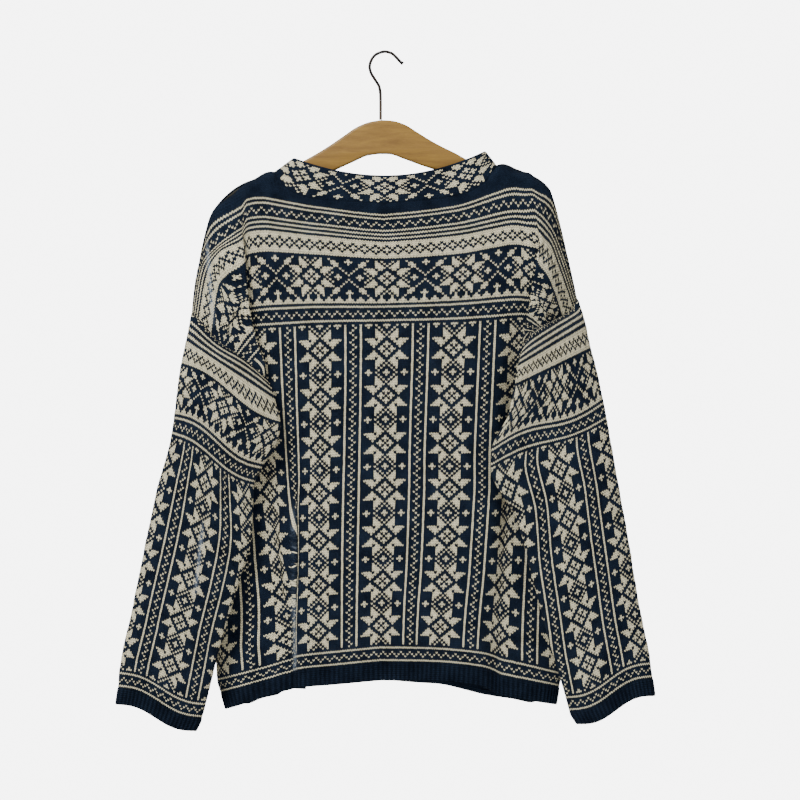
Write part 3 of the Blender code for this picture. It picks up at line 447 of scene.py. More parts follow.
def panelRow(knotsOf, away, wales, row):
    # the points of one row of a panel, away -1 for the front and 1 for the back
    points = np.empty((len(wales), 3))
    for side, mine in (("left", wales < 0), ("right", wales >= 0)):
        if mine.any():
            knots = knotsOf(side, row)
            marks = knots[:, 0]
            for k in range(1, len(marks)):
                marks[k] = max(marks[k], marks[k - 1] + 0.05)
            points[mine] = smooth(marks, knots[:, 1:], np.abs(wales[mine]))
    run = np.maximum(row - topRow(wales), 0) * knit["stitchHigh"]
    if away < 0:
        settled = ease(run / knit["driftSettles"])
        for axis, table, sign in ((2, frontDriftDown, -1), (0, frontDriftRight, 1)):
            drift = np.concatenate(([0], read(table, row), [0]))
            at = np.clip(wales, frontDriftWales[0], frontDriftWales[-1])
            points[:, axis] += sign * settled * smooth(frontDriftWales, drift, at)[:, 0]
    over = np.sqrt(np.maximum(1 - (1 - np.minimum(run / knit["shoulderRound"], 1)) ** 2, 0))
    byNeck = np.abs(wales) < neckShape["wale"]
    over = np.where(byNeck, np.sin(np.pi / 2 * np.minimum(run / knit["neckRound"], 1)), over)
    edge = away * (np.where(byNeck, neckDepth(wales), 0) + knit["seamApart"] * (1 - over))
    points[:, 1] = edge + (points[:, 1] - edge) * over
    if away > 0:
        share = np.abs(wales) / knit["halfWales"]
        deep = backFall["foldDeep"] * ease((row - backFall["foldFrom"]) / backFall["foldOver"])
        deep = deep * ease((1 - share) * backFall["foldEnds"])
        points[:, 1] += deep * np.sin(2 * np.pi * backFall["folds"] * share + backFall["foldPhase"])
    return points


def leanOf(wales):
    # stitches are Vs, so the middle of each wale hangs a little lower
    return np.where(np.abs(wales - np.round(wales)) < 0.01, knit["chevron"], -knit["chevron"])


def panelGrid(knotsOf, away, wales, rows):
    # every row of a panel, none above its top edge
    lean = leanOf(wales)
    tops = topRow(wales)
    edges = [panelRow(knotsOf, away, wales[i:i + 1], float(tops[i]))[0] for i in range(len(wales))]
    edges = np.array(edges)
    grid = np.empty((len(rows), len(wales), 3))
    for j, row in enumerate(rows):
        straight = row in (rows[0], rows[-1])
        for shift in (knit["chevron"], -knit["chevron"]):
            mine = lean == shift
            grid[j, mine] = panelRow(knotsOf, away, wales[mine], row + (0 if straight else shift))
        above = row + (0 if straight else 1) * lean <= tops
        grid[j, above] = edges[above]
    return grid


# The sleeve: its first row, the row where it has its full shape, its cuff's first row, half its
# wales, the armhole's first row and how many it runs, and how the cloth lies round the ring.
sleeve = {
    "first": 3, "full": 14, "blend": 1.5, "below": 9, "cuff": 162.0, "halfWales": 62,
    "armholeFirst": 7, "armholeRows": 63, "bunch": 3.2, "bunchOver": 30, "stand": 0.75, "inward": 0.4,
    "slipFrom": 60, "slipOver": 90, "narrowFrom": 53, "turn": {"left": -2.5, "right": 4},
}


def armhole(side, share):
    # the armhole's seam: down the front for shares under 0.5 and up the back after it
    along = np.where(share < 0.5, share * 2, 2 - share * 2)
    sign = -1 if side == "left" else 1
    points = []
    for lines in (frontLines, backLines):
        seam = read(lines[side]["seam"], sleeve["armholeFirst"] + sleeve["armholeRows"] * along)
        points.append(np.stack((sign * seam[:, 1], seam[:, 3], -seam[:, 2]), axis=1))
    return np.where((share < 0.5)[:, None], points[0], points[1])


def sleeveSection(side, row, share):
    sign = -1 if side == "left" else 1
    oOut, oDrop, oDepth, iOut, iDrop, iDepth, front, back, sag = read(sleeveRings[side], row)
    across = 0.5 - 0.5 * np.cos(2 * np.pi * share)
    bunched = np.maximum(2 - share * 2, 0) ** sleeve["bunch"]
    above = 1 - ease((row - sleeve["full"]) / sleeve["bunchOver"])
    across = np.where(share > 0.5, across + (bunched - across) * above, across)
    stand = np.abs(np.sin(2 * np.pi * share)) ** sleeve["stand"]
    out = oOut + (iOut - oOut) * across
    drop = oDrop + (iDrop - oDrop) * across + sag * np.sin(2 * np.pi * across)
    depth = oDepth + (iDepth - oDepth) * across ** sleeve["inward"]
    depth = depth + np.where(share <= 0.5, -front, back) * stand
    return np.stack((sign * out, depth, -drop), axis=1)


def sleeveRow(side, row, share):
    full, first = sleeve["full"], sleeve["first"]
    slip = math.sin(math.pi * min(max((row - sleeve["slipFrom"]) / sleeve["slipOver"], 0), 1))
    row = row + sleeveSlip[side] * slip
    blend = 1 - (1 - min((row - first) / (full - first), 1)) ** sleeve["blend"]
    low = sleeveSection(side, full, share)
    start = armhole(side, share) + sleeveSection(side, max(row, full), share) - low
    settled = sleeveSection(side, row, share) if row >= full else low
    if row < full:
        below = sleeveSection(side, full + sleeve["below"], share)
        settled = settled + (below - settled) * (row - full) / sleeve["below"]
    return start + (settled - start) * blend


# half the wales around the sleeve, by row
sleeveHalf = (
    (3, 62), (45, 62), (60, 57), (75, 52.5), (95, 48.5), (120, 46.5), (140, 44.5), (162, 43.5),
    (171, 43.5),
)
sleeveSlip = {"left": 1.6, "right": 0.7}  # rows that the middle of the sleeve hangs lower


def sleeveShare(side, row, wales):
    # where each wale lies around the ring. Wales run out at the inner edge as the sleeve narrows.
    half = float(read(sleeveHalf, row)[0])
    start, end = sleeve["narrowFrom"], sleeve["cuff"]
    shift = sleeve["turn"][side] * (np.clip(row, start, end) - start) / (end - start)
    across = np.clip((wales + shift) / half, -1, 1)
    share = np.arccos(1 - 2 * np.abs(across)) / (2 * np.pi)
    return np.where(across >= 0, share, 1 - share) % 1.0


def navyAround(cream, wales, closed):
    # for each cream half stitch, whether the one above, below or beside it is navy
    above = np.vstack((cream[:1], cream[:-1]))
    below = np.vstack((cream[1:], cream[-1:]))
    before, after = np.roll(cream, 1, axis=1), np.roll(cream, -1, axis=1)
    if not closed:
        before[:, 0], after[:, -1] = cream[:, 0], cream[:, -1]
    starts = wales[:cream.shape[1]]
    beside = np.where(np.abs(starts - np.round(starts)) > 0.2, before, after)
    return np.stack([cream * (1 - other) for other in (above, below, beside)], axis=-1)


def knitShell(name, grid, wales, rows, cream, thick, closed=False, lift=None, worn=()):
    # A knitted cloth wall over the points of a grid: stitches outside, a plainer face inside.
    rowCount, columns = grid.shape[:2]
    flat = np.round(grid.reshape(-1, 3) * mm, 7)
    unique, same = np.unique(flat, axis=0, return_inverse=True)
    ids = same.reshape(rowCount, columns)
    right = np.roll(ids, -1, axis=1) if closed else ids[:, 1:]
    left = ids if closed else ids[:, :-1]
    quads = np.stack((left[:-1], left[1:], right[1:], right[:-1]), axis=-1).reshape(-1, 4)
    normal = np.zeros_like(unique)
    face = np.cross(unique[quads[:, 2]] - unique[quads[:, 0]], unique[quads[:, 3]] - unique[quads[:, 1]])
    for k in range(4):
        np.add.at(normal, quads[:, k], face)
    normal /= np.maximum(np.linalg.norm(normal, axis=1), 1e-12)[:, None]
    half = np.broadcast_to(np.asarray(thick, float).reshape(-1, 1), (rowCount, columns)) / 2 * mm
    halfOf = np.zeros(len(unique))
    halfOf[ids] = half
    liftOf = np.zeros(len(unique))
    if lift is not None:
        liftOf[ids] = lift * mm
    outer = unique + normal * (halfOf + liftOf)[:, None]
    chance = np.random.default_rng(len(unique))
    loose = chance.uniform(-1, 1, (len(unique), 3)) * knit["uneven"] * mm
    rims = (ids[0], ids[-1]) if closed else (ids[0], ids[-1], ids[:, 0], ids[:, -1])
    loose[np.unique(np.concatenate(rims))] = 0
    if lift is None:
        outer += loose

    across = len(wales) if closed else len(wales) - 1
    waleStep = wales[1] - wales[0]
    u0 = np.broadcast_to(wales[:across], (rowCount - 1, across)).reshape(-1)
    u1 = u0 + waleStep
    v0 = np.repeat(rows[:-1], across)
    v1 = np.repeat(rows[1:], across)
    corners = np.stack([np.stack(pair, 1) for pair in ((u0, v0), (u0, v1), (u1, v1), (u1, v0))], 1)
    cream = np.asarray(cream, float)
    yarn = cream.reshape(-1, 1) * chance.uniform(knit["palest"], 1.0, (cream.size, 1))
    yarn = np.concatenate((yarn, navyAround(cream, wales, closed).reshape(-1, 3)), axis=1)

    faces, uvs, tints = [], [], []

    def add(corner, uv, tint):
        kept = [k for k in range(len(corner)) if corner[k] != corner[k - 1]]
        if len(kept) > 2:
            faces.append([int(corner[k]) for k in kept])
            uvs.extend((float(uv[k][0]), float(uv[k][1])) for k in kept)
            tints.extend([tuple(tint)] * len(kept))

    whole = (
        (quads[:, 0] != quads[:, 1]) & (quads[:, 1] != quads[:, 2]) & (quads[:, 2] != quads[:, 3])
        & (quads[:, 3] != quads[:, 0]) & (quads[:, 0] != quads[:, 2]) & (quads[:, 1] != quads[:, 3])
    )
    faces.extend(quads[whole].tolist())
    uvs.extend(map(tuple, corners[whole].reshape(-1, 2).tolist()))
    tints.extend(np.repeat(yarn[whole], 4, axis=0).tolist())
    for k in np.nonzero(~whole)[0]:
        if quads[k, 0] != quads[k, 2] and quads[k, 1] != quads[k, 3]:
            add(quads[k], corners[k], yarn[k])

    # the inner face takes every few rows and columns
    step = knit["innerStep"]
    rowPick = sorted({*range(0, rowCount, step), rowCount - 1})
    columnPick = list(range(0, columns, step))
    if not closed:
        columnPick = sorted({*columnPick, columns - 1})
    insideOf = {}
    insidePlaces = []

    def inner(row, column):
        key = int(ids[row, column % columns])
        if key not in insideOf:
            insideOf[key] = len(unique) + len(insidePlaces)
            insidePlaces.append(unique[key] - normal[key] * halfOf[key])
        return insideOf[key]

    def cloth(row, column):
        return int(ids[row, column % columns])

    ends = columnPick + [columns] if closed else columnPick
    inside = (knit["insideCream"] if lift is None else 0.0, 0, 0, 0)
    rim = (0, 0, 0, 0)
    for upper, lower in zip(rowPick, rowPick[1:]):
        for a, b in zip(ends, ends[1:]):
            loop = [inner(upper, b), inner(lower, b), inner(lower, a), inner(upper, a)]
            ring = ((upper, b), (lower, b), (lower, a), (upper, a))
            uv = [(wales[0] + c * waleStep, rows[r]) for r, c in ring]
            if loop[0] != loop[2] and loop[1] != loop[3]:
                add(loop, uv, inside)
    for a, b in zip(ends, ends[1:]):
        for row, order in ((0, 1), (rowCount - 1, -1)):
            run = list(range(a, b + 1))[::order]
            loop = [cloth(row, c) for c in run] + [inner(row, run[-1]), inner(row, run[0])]
            uv = [(wales[0] + c * waleStep, rows[row]) for c in run + [run[-1], run[0]]]
            add(loop, uv, rim)
    if not closed:
        for upper, lower in zip(rowPick, rowPick[1:]):
            for column, order in ((0, -1), (columns - 1, 1)):
                run = list(range(upper, lower + 1))[::order]
                loop = [cloth(r, column) for r in run] + [inner(run[-1], column), inner(run[0], column)]
                uv = [(wales[0] + column * waleStep, rows[r]) for r in run + [run[-1], run[0]]]
                add(loop, uv, rim)

    places = np.concatenate((outer, np.array(insidePlaces)))
    mesh = bpy.data.meshes.new(name)
    mesh.from_pydata(places.tolist(), [], faces)
    uvLayer = mesh.uv_layers.new(name="stitch")
    uvLayer.data.foreach_set("uv", np.array(uvs, float).reshape(-1))
    wear = np.zeros(len(places))
    for line in worn:
        line = np.array(line, float) * mm
        z = places[:, 2]
        middle = np.interp(z, line[::-1, 1], line[::-1, 0])
        fade = knit["wornFade"] * mm
        within = ease((z - line[-1, 1]) / fade) * ease((line[0, 1] - z) / fade)
        wear = np.maximum(wear, within * np.exp(-((places[:, 0] - middle) / (knit["wornWide"] * mm)) ** 2))
    loopVerts = np.empty(len(mesh.loops), np.int64)
    mesh.loops.foreach_get("vertex_index", loopVerts)
    # 0 on a rib's ridge, 1 down in its groove: this drives the painted shade between the ribs
    grooveShade = np.zeros(len(places))
    if lift is not None:
        grooveShade[:len(unique)] = (liftOf.max() - liftOf) / (rib["raise"] + rib["sink"]) / mm
    tints = np.array(tints, float)
    # yarn: cream, rubbed, navy beside. edges: navy above, navy below, and how far down between the ribs,
    # for the painted shade in the rib grooves.
    for layer, parts in (
        ("yarn", (tints[:, 0], wear[loopVerts], tints[:, 3])),
        ("edges", (tints[:, 1], tints[:, 2], grooveShade[loopVerts])),
    ):
        paint = np.ones((len(mesh.loops), 4))
        paint[:, :3] = np.stack(parts, axis=1)
        colours = mesh.color_attributes.new(layer, "FLOAT_COLOR", "CORNER")
        colours.data.foreach_set("color", paint.reshape(-1))
    mesh.polygons.foreach_set("use_smooth", np.ones(len(mesh.polygons), bool))
    mesh.update()
    obj = bpy.data.objects.new(name, mesh)
    bpy.context.collection.objects.link(obj)
    print("knitted", name, len(mesh.polygons), "faces")
    return obj


def stitchColours(chart, wales, rows, closed=False):
    # cream or navy for each half stitch
    middles = wales + (wales[1] - wales[0]) / 2 if closed else (wales[1:] + wales[:-1]) / 2
    stitch = np.floor(middles + 0.5).astype(int)
    courses = np.floor((rows[1:] + rows[:-1]) / 2 + 0.5).astype(int)
    table = {w: [chart(int(w), int(r)) for r in courses] for w in set(stitch.tolist())}
    return np.array([table[w] for w in stitch.tolist()], float).T


# The finishes.


def makeMaterial(name):
    material = bpy.data.materials.new(name)
    material.use_nodes = True
    tree = material.node_tree
    return material, tree, tree.nodes["Principled BSDF"]


def addNode(tree, kind, inputs=None, **settings):
    made = tree.nodes.new(kind)
    for key, value in settings.items():
        setattr(made, key, value)
    for key, value in (inputs or {}).items():
        if isinstance(value, bpy.types.NodeSocket):
            tree.links.new(value, made.inputs[key])
        else:
            made.inputs[key].default_value = value
    return made


def sums(tree, operation, first, second=0.0, clamp=False):
    inputs = {0: first, 1: second}
    return addNode(tree, "ShaderNodeMath", inputs, operation=operation, use_clamp=clamp).outputs[0]


def times(tree, first, second):
    return sums(tree, "MULTIPLY", first, second)


def plus(tree, first, second, clamp=False):
    return sums(tree, "ADD", first, second, clamp)


def leftOf(tree, value):
    return sums(tree, "SUBTRACT", 1.0, value)


def mapped(tree, value, start, end):
    # 0 below start, 1 above end
    return addNode(tree, "ShaderNodeMapRange", {0: value, 1: start, 2: end}).outputs[0]


def blendColours(tree, share, first, second, mode="MIX"):
    made = addNode(tree, "ShaderNodeMix", data_type="RGBA", blend_type=mode)
    for key, value in ((0, share), (6, first), (7, second)):
        if isinstance(value, bpy.types.NodeSocket):
            tree.links.new(value, made.inputs[key])
        else:
            made.inputs[key].default_value = value
    return made.outputs[2]


woolLook = {
    "navy": (0.0004, 0.0013, 0.0040, 1), "navyLight": (0.0125, 0.0225, 0.043, 1),
    "cream": (0.90, 0.82, 0.57, 1), "creamDark": (0.62, 0.56, 0.37, 1),
    "worn": (0.30, 0.36, 0.44, 1), "wornMost": 0.75, "wornPatches": (0.42, 0.6),
    "fuzzScale": 900, "patchScale": 45, "fuzzShare": 0.7, "heather": (0.36, 0.64),
    "plump": 0.45, "taper": 0.7, "least": 0.02,
    "gap": (0.12, 0.5), "gapDark": 0.45, "bare": (0.3, 0.75), "chain": 0.75,
    "edge": (0.2, 0.38), "side": (0.28, 0.42), "loose": 0.3, "groove": 0.5,
    "relief": 0.85, "floor": 0.26, "fuzzHigh": 0.55, "bump": 0.7, "bumpHigh": 0.0009,
}


def woolMaterial():
    material, tree, shader = makeMaterial("two colour wool")
    yarn = addNode(tree, "ShaderNodeAttribute", attribute_name="yarn")
    parts = addNode(tree, "ShaderNodeSeparateColor", {0: yarn.outputs["Color"]})
    uv = addNode(tree, "ShaderNodeUVMap", uv_map="stitch")
    place = addNode(tree, "ShaderNodeSeparateXYZ", {0: uv.outputs[0]})

    def fromMiddle(value):
        moved = plus(tree, value, 0.5)
        return sums(tree, "ABSOLUTE", sums(tree, "SUBTRACT", sums(tree, "FRACT", moved), 0.5))

    # each half of a V is one plump leg of yarn
    across = sums(tree, "SINE", times(tree, fromMiddle(place.outputs[0]), 2 * math.pi))
    along = sums(tree, "COSINE", times(tree, fromMiddle(place.outputs[1]), math.pi))
    plump = sums(tree, "POWER", sums(tree, "MAXIMUM", across, woolLook["least"]), woolLook["plump"])
    taper = sums(tree, "POWER", sums(tree, "MAXIMUM", along, woolLook["least"]), woolLook["taper"])
    leg = times(tree, plump, taper)

    coords = addNode(tree, "ShaderNodeTexCoord")
    fuzz = addNode(tree, "ShaderNodeTexNoise", {
        "Vector": coords.outputs["Object"], "Scale": woolLook["fuzzScale"], "Detail": 5.0, "Roughness": 0.7,
    }).outputs[0]
    patch = addNode(tree, "ShaderNodeTexNoise", {
        "Vector": coords.outputs["Object"], "Scale": woolLook["patchScale"], "Detail": 3.0,
    }).outputs[0]
    heather = times(tree, patch, 1 - woolLook["fuzzShare"])
    heather = plus(tree, times(tree, fuzz, woolLook["fuzzShare"]), heather)
    heather = mapped(tree, heather, *woolLook["heather"])
    navy = blendColours(tree, heather, woolLook["navy"], woolLook["navyLight"])
    cream = blendColours(tree, heather, woolLook["creamDark"], woolLook["cream"])
    covered = times(tree, mapped(tree, leg, *woolLook["gap"]), woolLook["gapDark"])
    covered = plus(tree, covered, 1 - woolLook["gapDark"])
    share = times(tree, parts.outputs[0], covered)

    # navy yarn laps over a cream stitch's edge where its neighbour is navy
    edges = addNode(tree, "ShaderNodeAttribute", attribute_name="edges")
    edge = addNode(tree, "ShaderNodeSeparateColor", {0: edges.outputs["Color"]})
    fromRow = sums(tree, "SUBTRACT", sums(tree, "FRACT", plus(tree, place.outputs[1], 0.5)), 0.5)
    loose = times(tree, sums(tree, "SUBTRACT", fuzz, 0.5), woolLook["loose"])
    for mark, distance, reach in (
        (edge.outputs[0], times(tree, fromRow, -1.0), "edge"),
        (edge.outputs[1], fromRow, "edge"),
        (parts.outputs[2], fromMiddle(place.outputs[0]), "side"),
    ):
        over = mapped(tree, plus(tree, distance, loose), *woolLook[reach])
        kept = leftOf(tree, times(tree, over, mark))
        share = times(tree, share, kept)

    # a single cream row looks like a chain, dark between its legs
    bare = leftOf(tree, mapped(tree, leg, *woolLook["bare"]))
    besideNavy = plus(tree, edge.outputs[0], edge.outputs[1], True)
    chain = times(tree, times(tree, bare, besideNavy), woolLook["chain"])
    share = times(tree, share, leftOf(tree, chain))
    colour = blendColours(tree, share, navy, cream)
    # painted shade: each leg of yarn is darker towards its edges, in the crevices between legs and rows
    shade = plus(tree, times(tree, leg, woolLook["relief"]), woolLook["floor"])
    # painted shade in the grooves between the ribs
    groove = leftOf(tree, times(tree, edge.outputs[2], woolLook["groove"]))
    shade = times(tree, shade, groove)
    grey = addNode(tree, "ShaderNodeCombineColor", {0: shade, 1: shade, 2: shade}).outputs[0]
    colour = blendColours(tree, 1.0, colour, grey, "MULTIPLY")
    rubbed = times(tree, parts.outputs[1], mapped(tree, fuzz, *woolLook["wornPatches"]))
    rubbed = times(tree, rubbed, woolLook["wornMost"])
    colour = blendColours(tree, rubbed, colour, woolLook["worn"])
    tree.links.new(colour, shader.inputs["Base Color"])

    height = plus(tree, leg, times(tree, fuzz, woolLook["fuzzHigh"]))
    bump = addNode(tree, "ShaderNodeBump", {
        "Strength": woolLook["bump"], "Distance": woolLook["bumpHigh"], "Height": height,
    })
    tree.links.new(bump.outputs[0], shader.inputs["Normal"])
    shader.inputs["Roughness"].default_value = 0.92
    shader.inputs["Specular IOR Level"].default_value = 0.02
    shader.inputs["Sheen Weight"].default_value = 0.008
    shader.inputs["Sheen Roughness"].default_value = 0.6
    return material


woodLook = {
    "light": (0.215, 0.121, 0.021, 1), "dark": (0.13, 0.066, 0.010, 1),
    "fleck": (0.22, 0.11, 0.035, 1), "fleckMost": 0.35, "ringScale": 136.0, "fleckScale": 1400.0,
    "stretch": 0.12, "rings": (0.34, 0.68), "flecks": (0.55, 0.72),
}


def woodMaterial():
    material, tree, shader = makeMaterial("varnished beech")
    coords = addNode(tree, "ShaderNodeTexCoord")
    along = addNode(tree, "ShaderNodeMapping", {0: coords.outputs["Object"]})
    along.inputs["Scale"].default_value = (woodLook["stretch"], 1, 1)
    rings = addNode(tree, "ShaderNodeTexNoise", {
        "Vector": along.outputs[0], "Scale": woodLook["ringScale"], "Detail": 6.0, "Roughness": 0.6,
        "Distortion": 0.6,
    })
    flecks = addNode(tree, "ShaderNodeTexNoise", {
        "Vector": along.outputs[0], "Scale": woodLook["fleckScale"], "Detail": 2.0,
    })
    ring = mapped(tree, rings.outputs[0], *woodLook["rings"])
    fleck = mapped(tree, flecks.outputs[0], *woodLook["flecks"])
    fleck = times(tree, fleck, woodLook["fleckMost"])
    colour = blendColours(tree, ring, woodLook["light"], woodLook["dark"])
    colour = blendColours(tree, fleck, colour, woodLook["fleck"])
    tree.links.new(colour, shader.inputs["Base Color"])
    rough = plus(tree, times(tree, ring, 0.12), 0.44)
    tree.links.new(rough, shader.inputs["Roughness"])
    bump = addNode(tree, "ShaderNodeBump", {
        "Strength": 0.25, "Distance": 0.0003, "Height": flecks.outputs[0],
    })
    tree.links.new(bump.outputs[0], shader.inputs["Normal"])
    shader.inputs["Coat Weight"].default_value = 0.03
    shader.inputs["Coat Roughness"].default_value = 0.35
    shader.inputs["Specular IOR Level"].default_value = 0.3
    return material


wireLook = {
    "dark": (0.008, 0.007, 0.006, 1), "brown": (0.075, 0.05, 0.03, 1), "stem": (-0.045, -0.085),
    "stemMost": 0.6, "spots": (0.45, 0.68), "spotMost": 0.2,
}


def wireMaterial():
    material, tree, shader = makeMaterial("blackened wire")
    coords = addNode(tree, "ShaderNodeTexCoord")
    place = addNode(tree, "ShaderNodeSeparateXYZ", {0: coords.outputs["Object"]})
    stem = mapped(tree, place.outputs[2], *wireLook["stem"])
    worn = addNode(tree, "ShaderNodeTexNoise", {
        "Vector": coords.outputs["Object"], "Scale": 120.0, "Detail": 3.0,
    })
    spots = mapped(tree, worn.outputs[0], *wireLook["spots"])
    spotted = times(tree, spots, wireLook["spotMost"])
    share = plus(tree, times(tree, stem, wireLook["stemMost"]), spotted, True)
    colour = blendColours(tree, share, wireLook["dark"], wireLook["brown"])
    tree.links.new(colour, shader.inputs["Base Color"])
    rough = plus(tree, times(tree, spots, 0.2), 0.5)
    tree.links.new(rough, shader.inputs["Roughness"])
    shader.inputs["Metallic"].default_value = 0.25
    shader.inputs["Specular IOR Level"].default_value = 0.2
    bump = addNode(tree, "ShaderNodeBump", {"Strength": 0.2, "Distance": 0.0002, "Height": worn.outputs[0]})
    tree.links.new(bump.outputs[0], shader.inputs["Normal"])
    return material


wool = woolMaterial()
wood = woodMaterial()
wire = wireMaterial()
print("finishes mixed")


def dress(obj, node, material):
    obj.data.materials.append(material)
    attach(obj, "root")
    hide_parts(node)
    print("dressed", node, "as", obj.name)


# The body: front and back, with the rubbed lines where the cloth is creased.
halfSteps = np.arange(-knit["halfWales"], knit["halfWales"] + 0.25, 0.5)
panelRows = np.concatenate((np.arange(knit["firstRow"], knit["hemRow"], 1.0), [knit["hemRow"]]))
wornFront = (((-119, -585), (-116.5, -830)), ((-232, -236), (-222, -360)))

pieces = {}
for name, knotsOf, away in (("front", frontKnots, -1), ("back", backKnots, 1)):
    wales = halfSteps if away < 0 else halfSteps[::-1]
    grid = panelGrid(knotsOf, away, wales, panelRows)
    cream = stitchColours(creamBody, wales, panelRows)
    pieces[name] = knitShell(
        name + "_knit", grid, wales, panelRows, cream, knit["thick"], worn=wornFront if away < 0 else (),
    )
    dress(pieces[name], name, wool)

# The sleeves, each a tube of half stitches.
sleeveWales = np.arange(-sleeve["halfWales"], sleeve["halfWales"], 0.5)
sleeveRows = np.arange(sleeve["first"] + 0.5, sleeve["cuff"], 1.0)
sleeveRows = np.concatenate(([sleeve["first"]], sleeveRows, [sleeve["cuff"]]))
wornSleeve = {"left": (((-234, -600), (-246, -712)),), "right": ()}

for side in ("left", "right"):
    order = slice(None) if side == "left" else slice(None, None, -1)
    wales = sleeveWales[order]
    lean = leanOf(wales)
    grid = np.empty((len(sleeveRows), len(wales), 3))
    for j, row in enumerate(sleeveRows):
        for shift in (knit["chevron"], -knit["chevron"]):
            mine = lean == shift
            at = float(row) + (0 if j in (0, len(sleeveRows) - 1) else shift)
            grid[j, mine] = sleeveRow(side, at, sleeveShare(side, at, wales[mine]))
    cream = stitchColours(creamSleeve, wales, sleeveRows, True)
    name = "sleeve_" + side
    pieces[name] = knitShell(
        name + "_knit", grid, wales, sleeveRows, cream, knit["thick"], closed=True, worn=wornSleeve[side],
    )
    dress(pieces[name], name, wool)

# The ribs at the hem and the cuffs.
rib = {
    "raise": 1.1, "sink": 0.3, "step": 0.25, "rows": 9, "lastStep": 0.3, "hemEnd": 208.8, "cuffEnd": 170.0,
    "cuffWales": 88,
}


def ribRows(first, last):
    return np.concatenate((np.linspace(first, last - rib["lastStep"], rib["rows"]), [last]))


def ribLift(wales, count):
    # each second wale stands up, and the rib flattens at its lower edge
    profile = 0.5 + 0.5 * np.cos(np.pi * wales)
    fade = np.concatenate(([0.35, 0.8], np.ones(count - 4), [0.9, 0.45]))
    return fade[:, None] * (profile[None, :] * (rib["raise"] + rib["sink"]) - rib["sink"])


def ribThick(count):
    return np.concatenate((np.full(count - 2, knit["thick"]), [knit["thick"] * 0.85, knit["thick"] * 0.45]))


for name, knotsOf, away in (("hem_rib_front", frontKnots, -1), ("hem_rib_back", backKnots, 1)):
    wales = np.arange(-knit["halfWales"], knit["halfWales"] + 0.1, rib["step"])
    wales = wales if away < 0 else wales[::-1]
    rows = ribRows(knit["hemRow"], rib["hemEnd"])
    grid = np.stack([panelRow(knotsOf, away, wales, float(row)) for row in rows])
    cream = np.zeros((len(rows) - 1, len(wales) - 1))
    pieces[name] = knitShell(
        name + "_knit", grid, wales, rows, cream, ribThick(len(rows)), lift=ribLift(wales, len(rows)),
    )
    dress(pieces[name], name, wool)

for side in ("left", "right"):
    name = "cuff_" + side
    count = rib["cuffWales"]
    wales = np.arange(0, count, rib["step"])
    wales = wales if side == "left" else wales[::-1]
    rows = ribRows(sleeve["cuff"], rib["cuffEnd"])
    share = np.arccos(1 - 2 * np.clip(1 - np.abs(1 - wales * 2 / count), 0, 1)) / (2 * np.pi)
    share = np.where(wales * 2 <= count, share, 1 - share) % 1.0
    grid = np.stack([sleeveRow(side, float(row), share) for row in rows])
    cream = np.zeros((len(rows) - 1, len(wales)))
    pieces[name] = knitShell(
        name + "_knit", grid, wales, rows, cream, ribThick(len(rows)), closed=True,
        lift=ribLift(wales, len(rows)),
    )
    dress(pieces[name], name, wool)

# The neck band, folded over at its top.
bandLook = {
    "thick": 3.6, "foldRow": -7.0, "footRow": 9.0, "stitch": 3.86, "lean": 0.8, "coarse": 240,
    "ringHigh": 0.6, "foldThick": (0.35, 0.8, 0.95), "standOff": 0.4,
}


def neckRow(share, high):
    front = share <= 0.5
    along = -np.cos(2 * np.pi * share)
    reach = np.abs(along)
    top = np.empty((len(share), 3))
    for side, mine in (("left", along < 0), ("right", along >= 0)):
        peakOut, peakDrop = neckShape[side]
        sign = -1 if side == "left" else 1
        dip = neckShape["dip"] + np.where(front, 0, neckShape["backDip"])
        top[mine, 0] = sign * peakOut * reach[mine] ** neckShape["outCurve"]
        top[mine, 2] = -(dip + (peakDrop - dip) * reach ** neckShape["riseCurve"])[mine]
    away = np.where(front, -1, 1)
    bow = np.sqrt(np.maximum(1 - reach ** neckShape["square"], 0))
    top[:, 1] = away * ((neckShape["deep"] - neckShape["lean"]) * bow + bandLook["standOff"])
    top[reach > 0.999, 1] = 0
    return bandFoot + (top - bandFoot) * high


def footPoints(shares):
    points = np.empty((len(shares), 3))
    for i, share in enumerate(shares):
        along = -math.cos(2 * math.pi * share)
        wale = np.array([along * neckShape["wale"]])
        knotsOf, away = (frontKnots, -1) if share <= 0.5 else (backKnots, 1)
        points[i] = panelRow(knotsOf, away, wale, float(topRow(wale)[0]))[0]
        if abs(along) > 0.999:
            points[i, 1] = 0
    return points


# even stitches around the ring, counted from the middle of the front
coarse = np.linspace(0, 1, bandLook["coarse"] + 1)[:-1]
bandFoot = footPoints(coarse)
ring = neckRow(coarse, bandLook["ringHigh"])
run = np.concatenate(([0], np.cumsum(np.linalg.norm(np.roll(ring, -1, axis=0) - ring, axis=1))))
stitches = int(round(run[-1] / bandLook["stitch"] / 4)) * 4
middle = np.interp(0.25, np.append(coarse, 1.0), run)
bandWales = np.arange(-stitches / 2, stitches / 2, 0.5)
reachRun = (bandWales * run[-1] / stitches + middle) % run[-1]
bandShare = np.interp(reachRun, run, np.append(coarse, 1.0)) % 1.0
bandFoot = footPoints(bandShare)
bandRows = np.arange(bandLook["foldRow"], bandLook["footRow"], 1.0) + 0.5
bandRows = np.concatenate(([bandLook["foldRow"] - 0.5], bandRows, [bandLook["footRow"]]))
spread = (bandRows - bandRows[0]) / (bandRows[-1] - bandRows[0])
lean = leanOf(bandWales) * bandLook["lean"]
grid = np.empty((len(bandRows), len(bandWales), 3))
for j, share in enumerate(spread):
    shift = 0 if j in (0, len(spread) - 1) else 1
    high = 1 - share - lean * shift / (bandRows[-1] - bandRows[0])
    grid[j] = neckRow(bandShare, high[:, None])
bandThick = np.full(len(bandRows), bandLook["thick"])
bandThick[:3] *= bandLook["foldThick"]
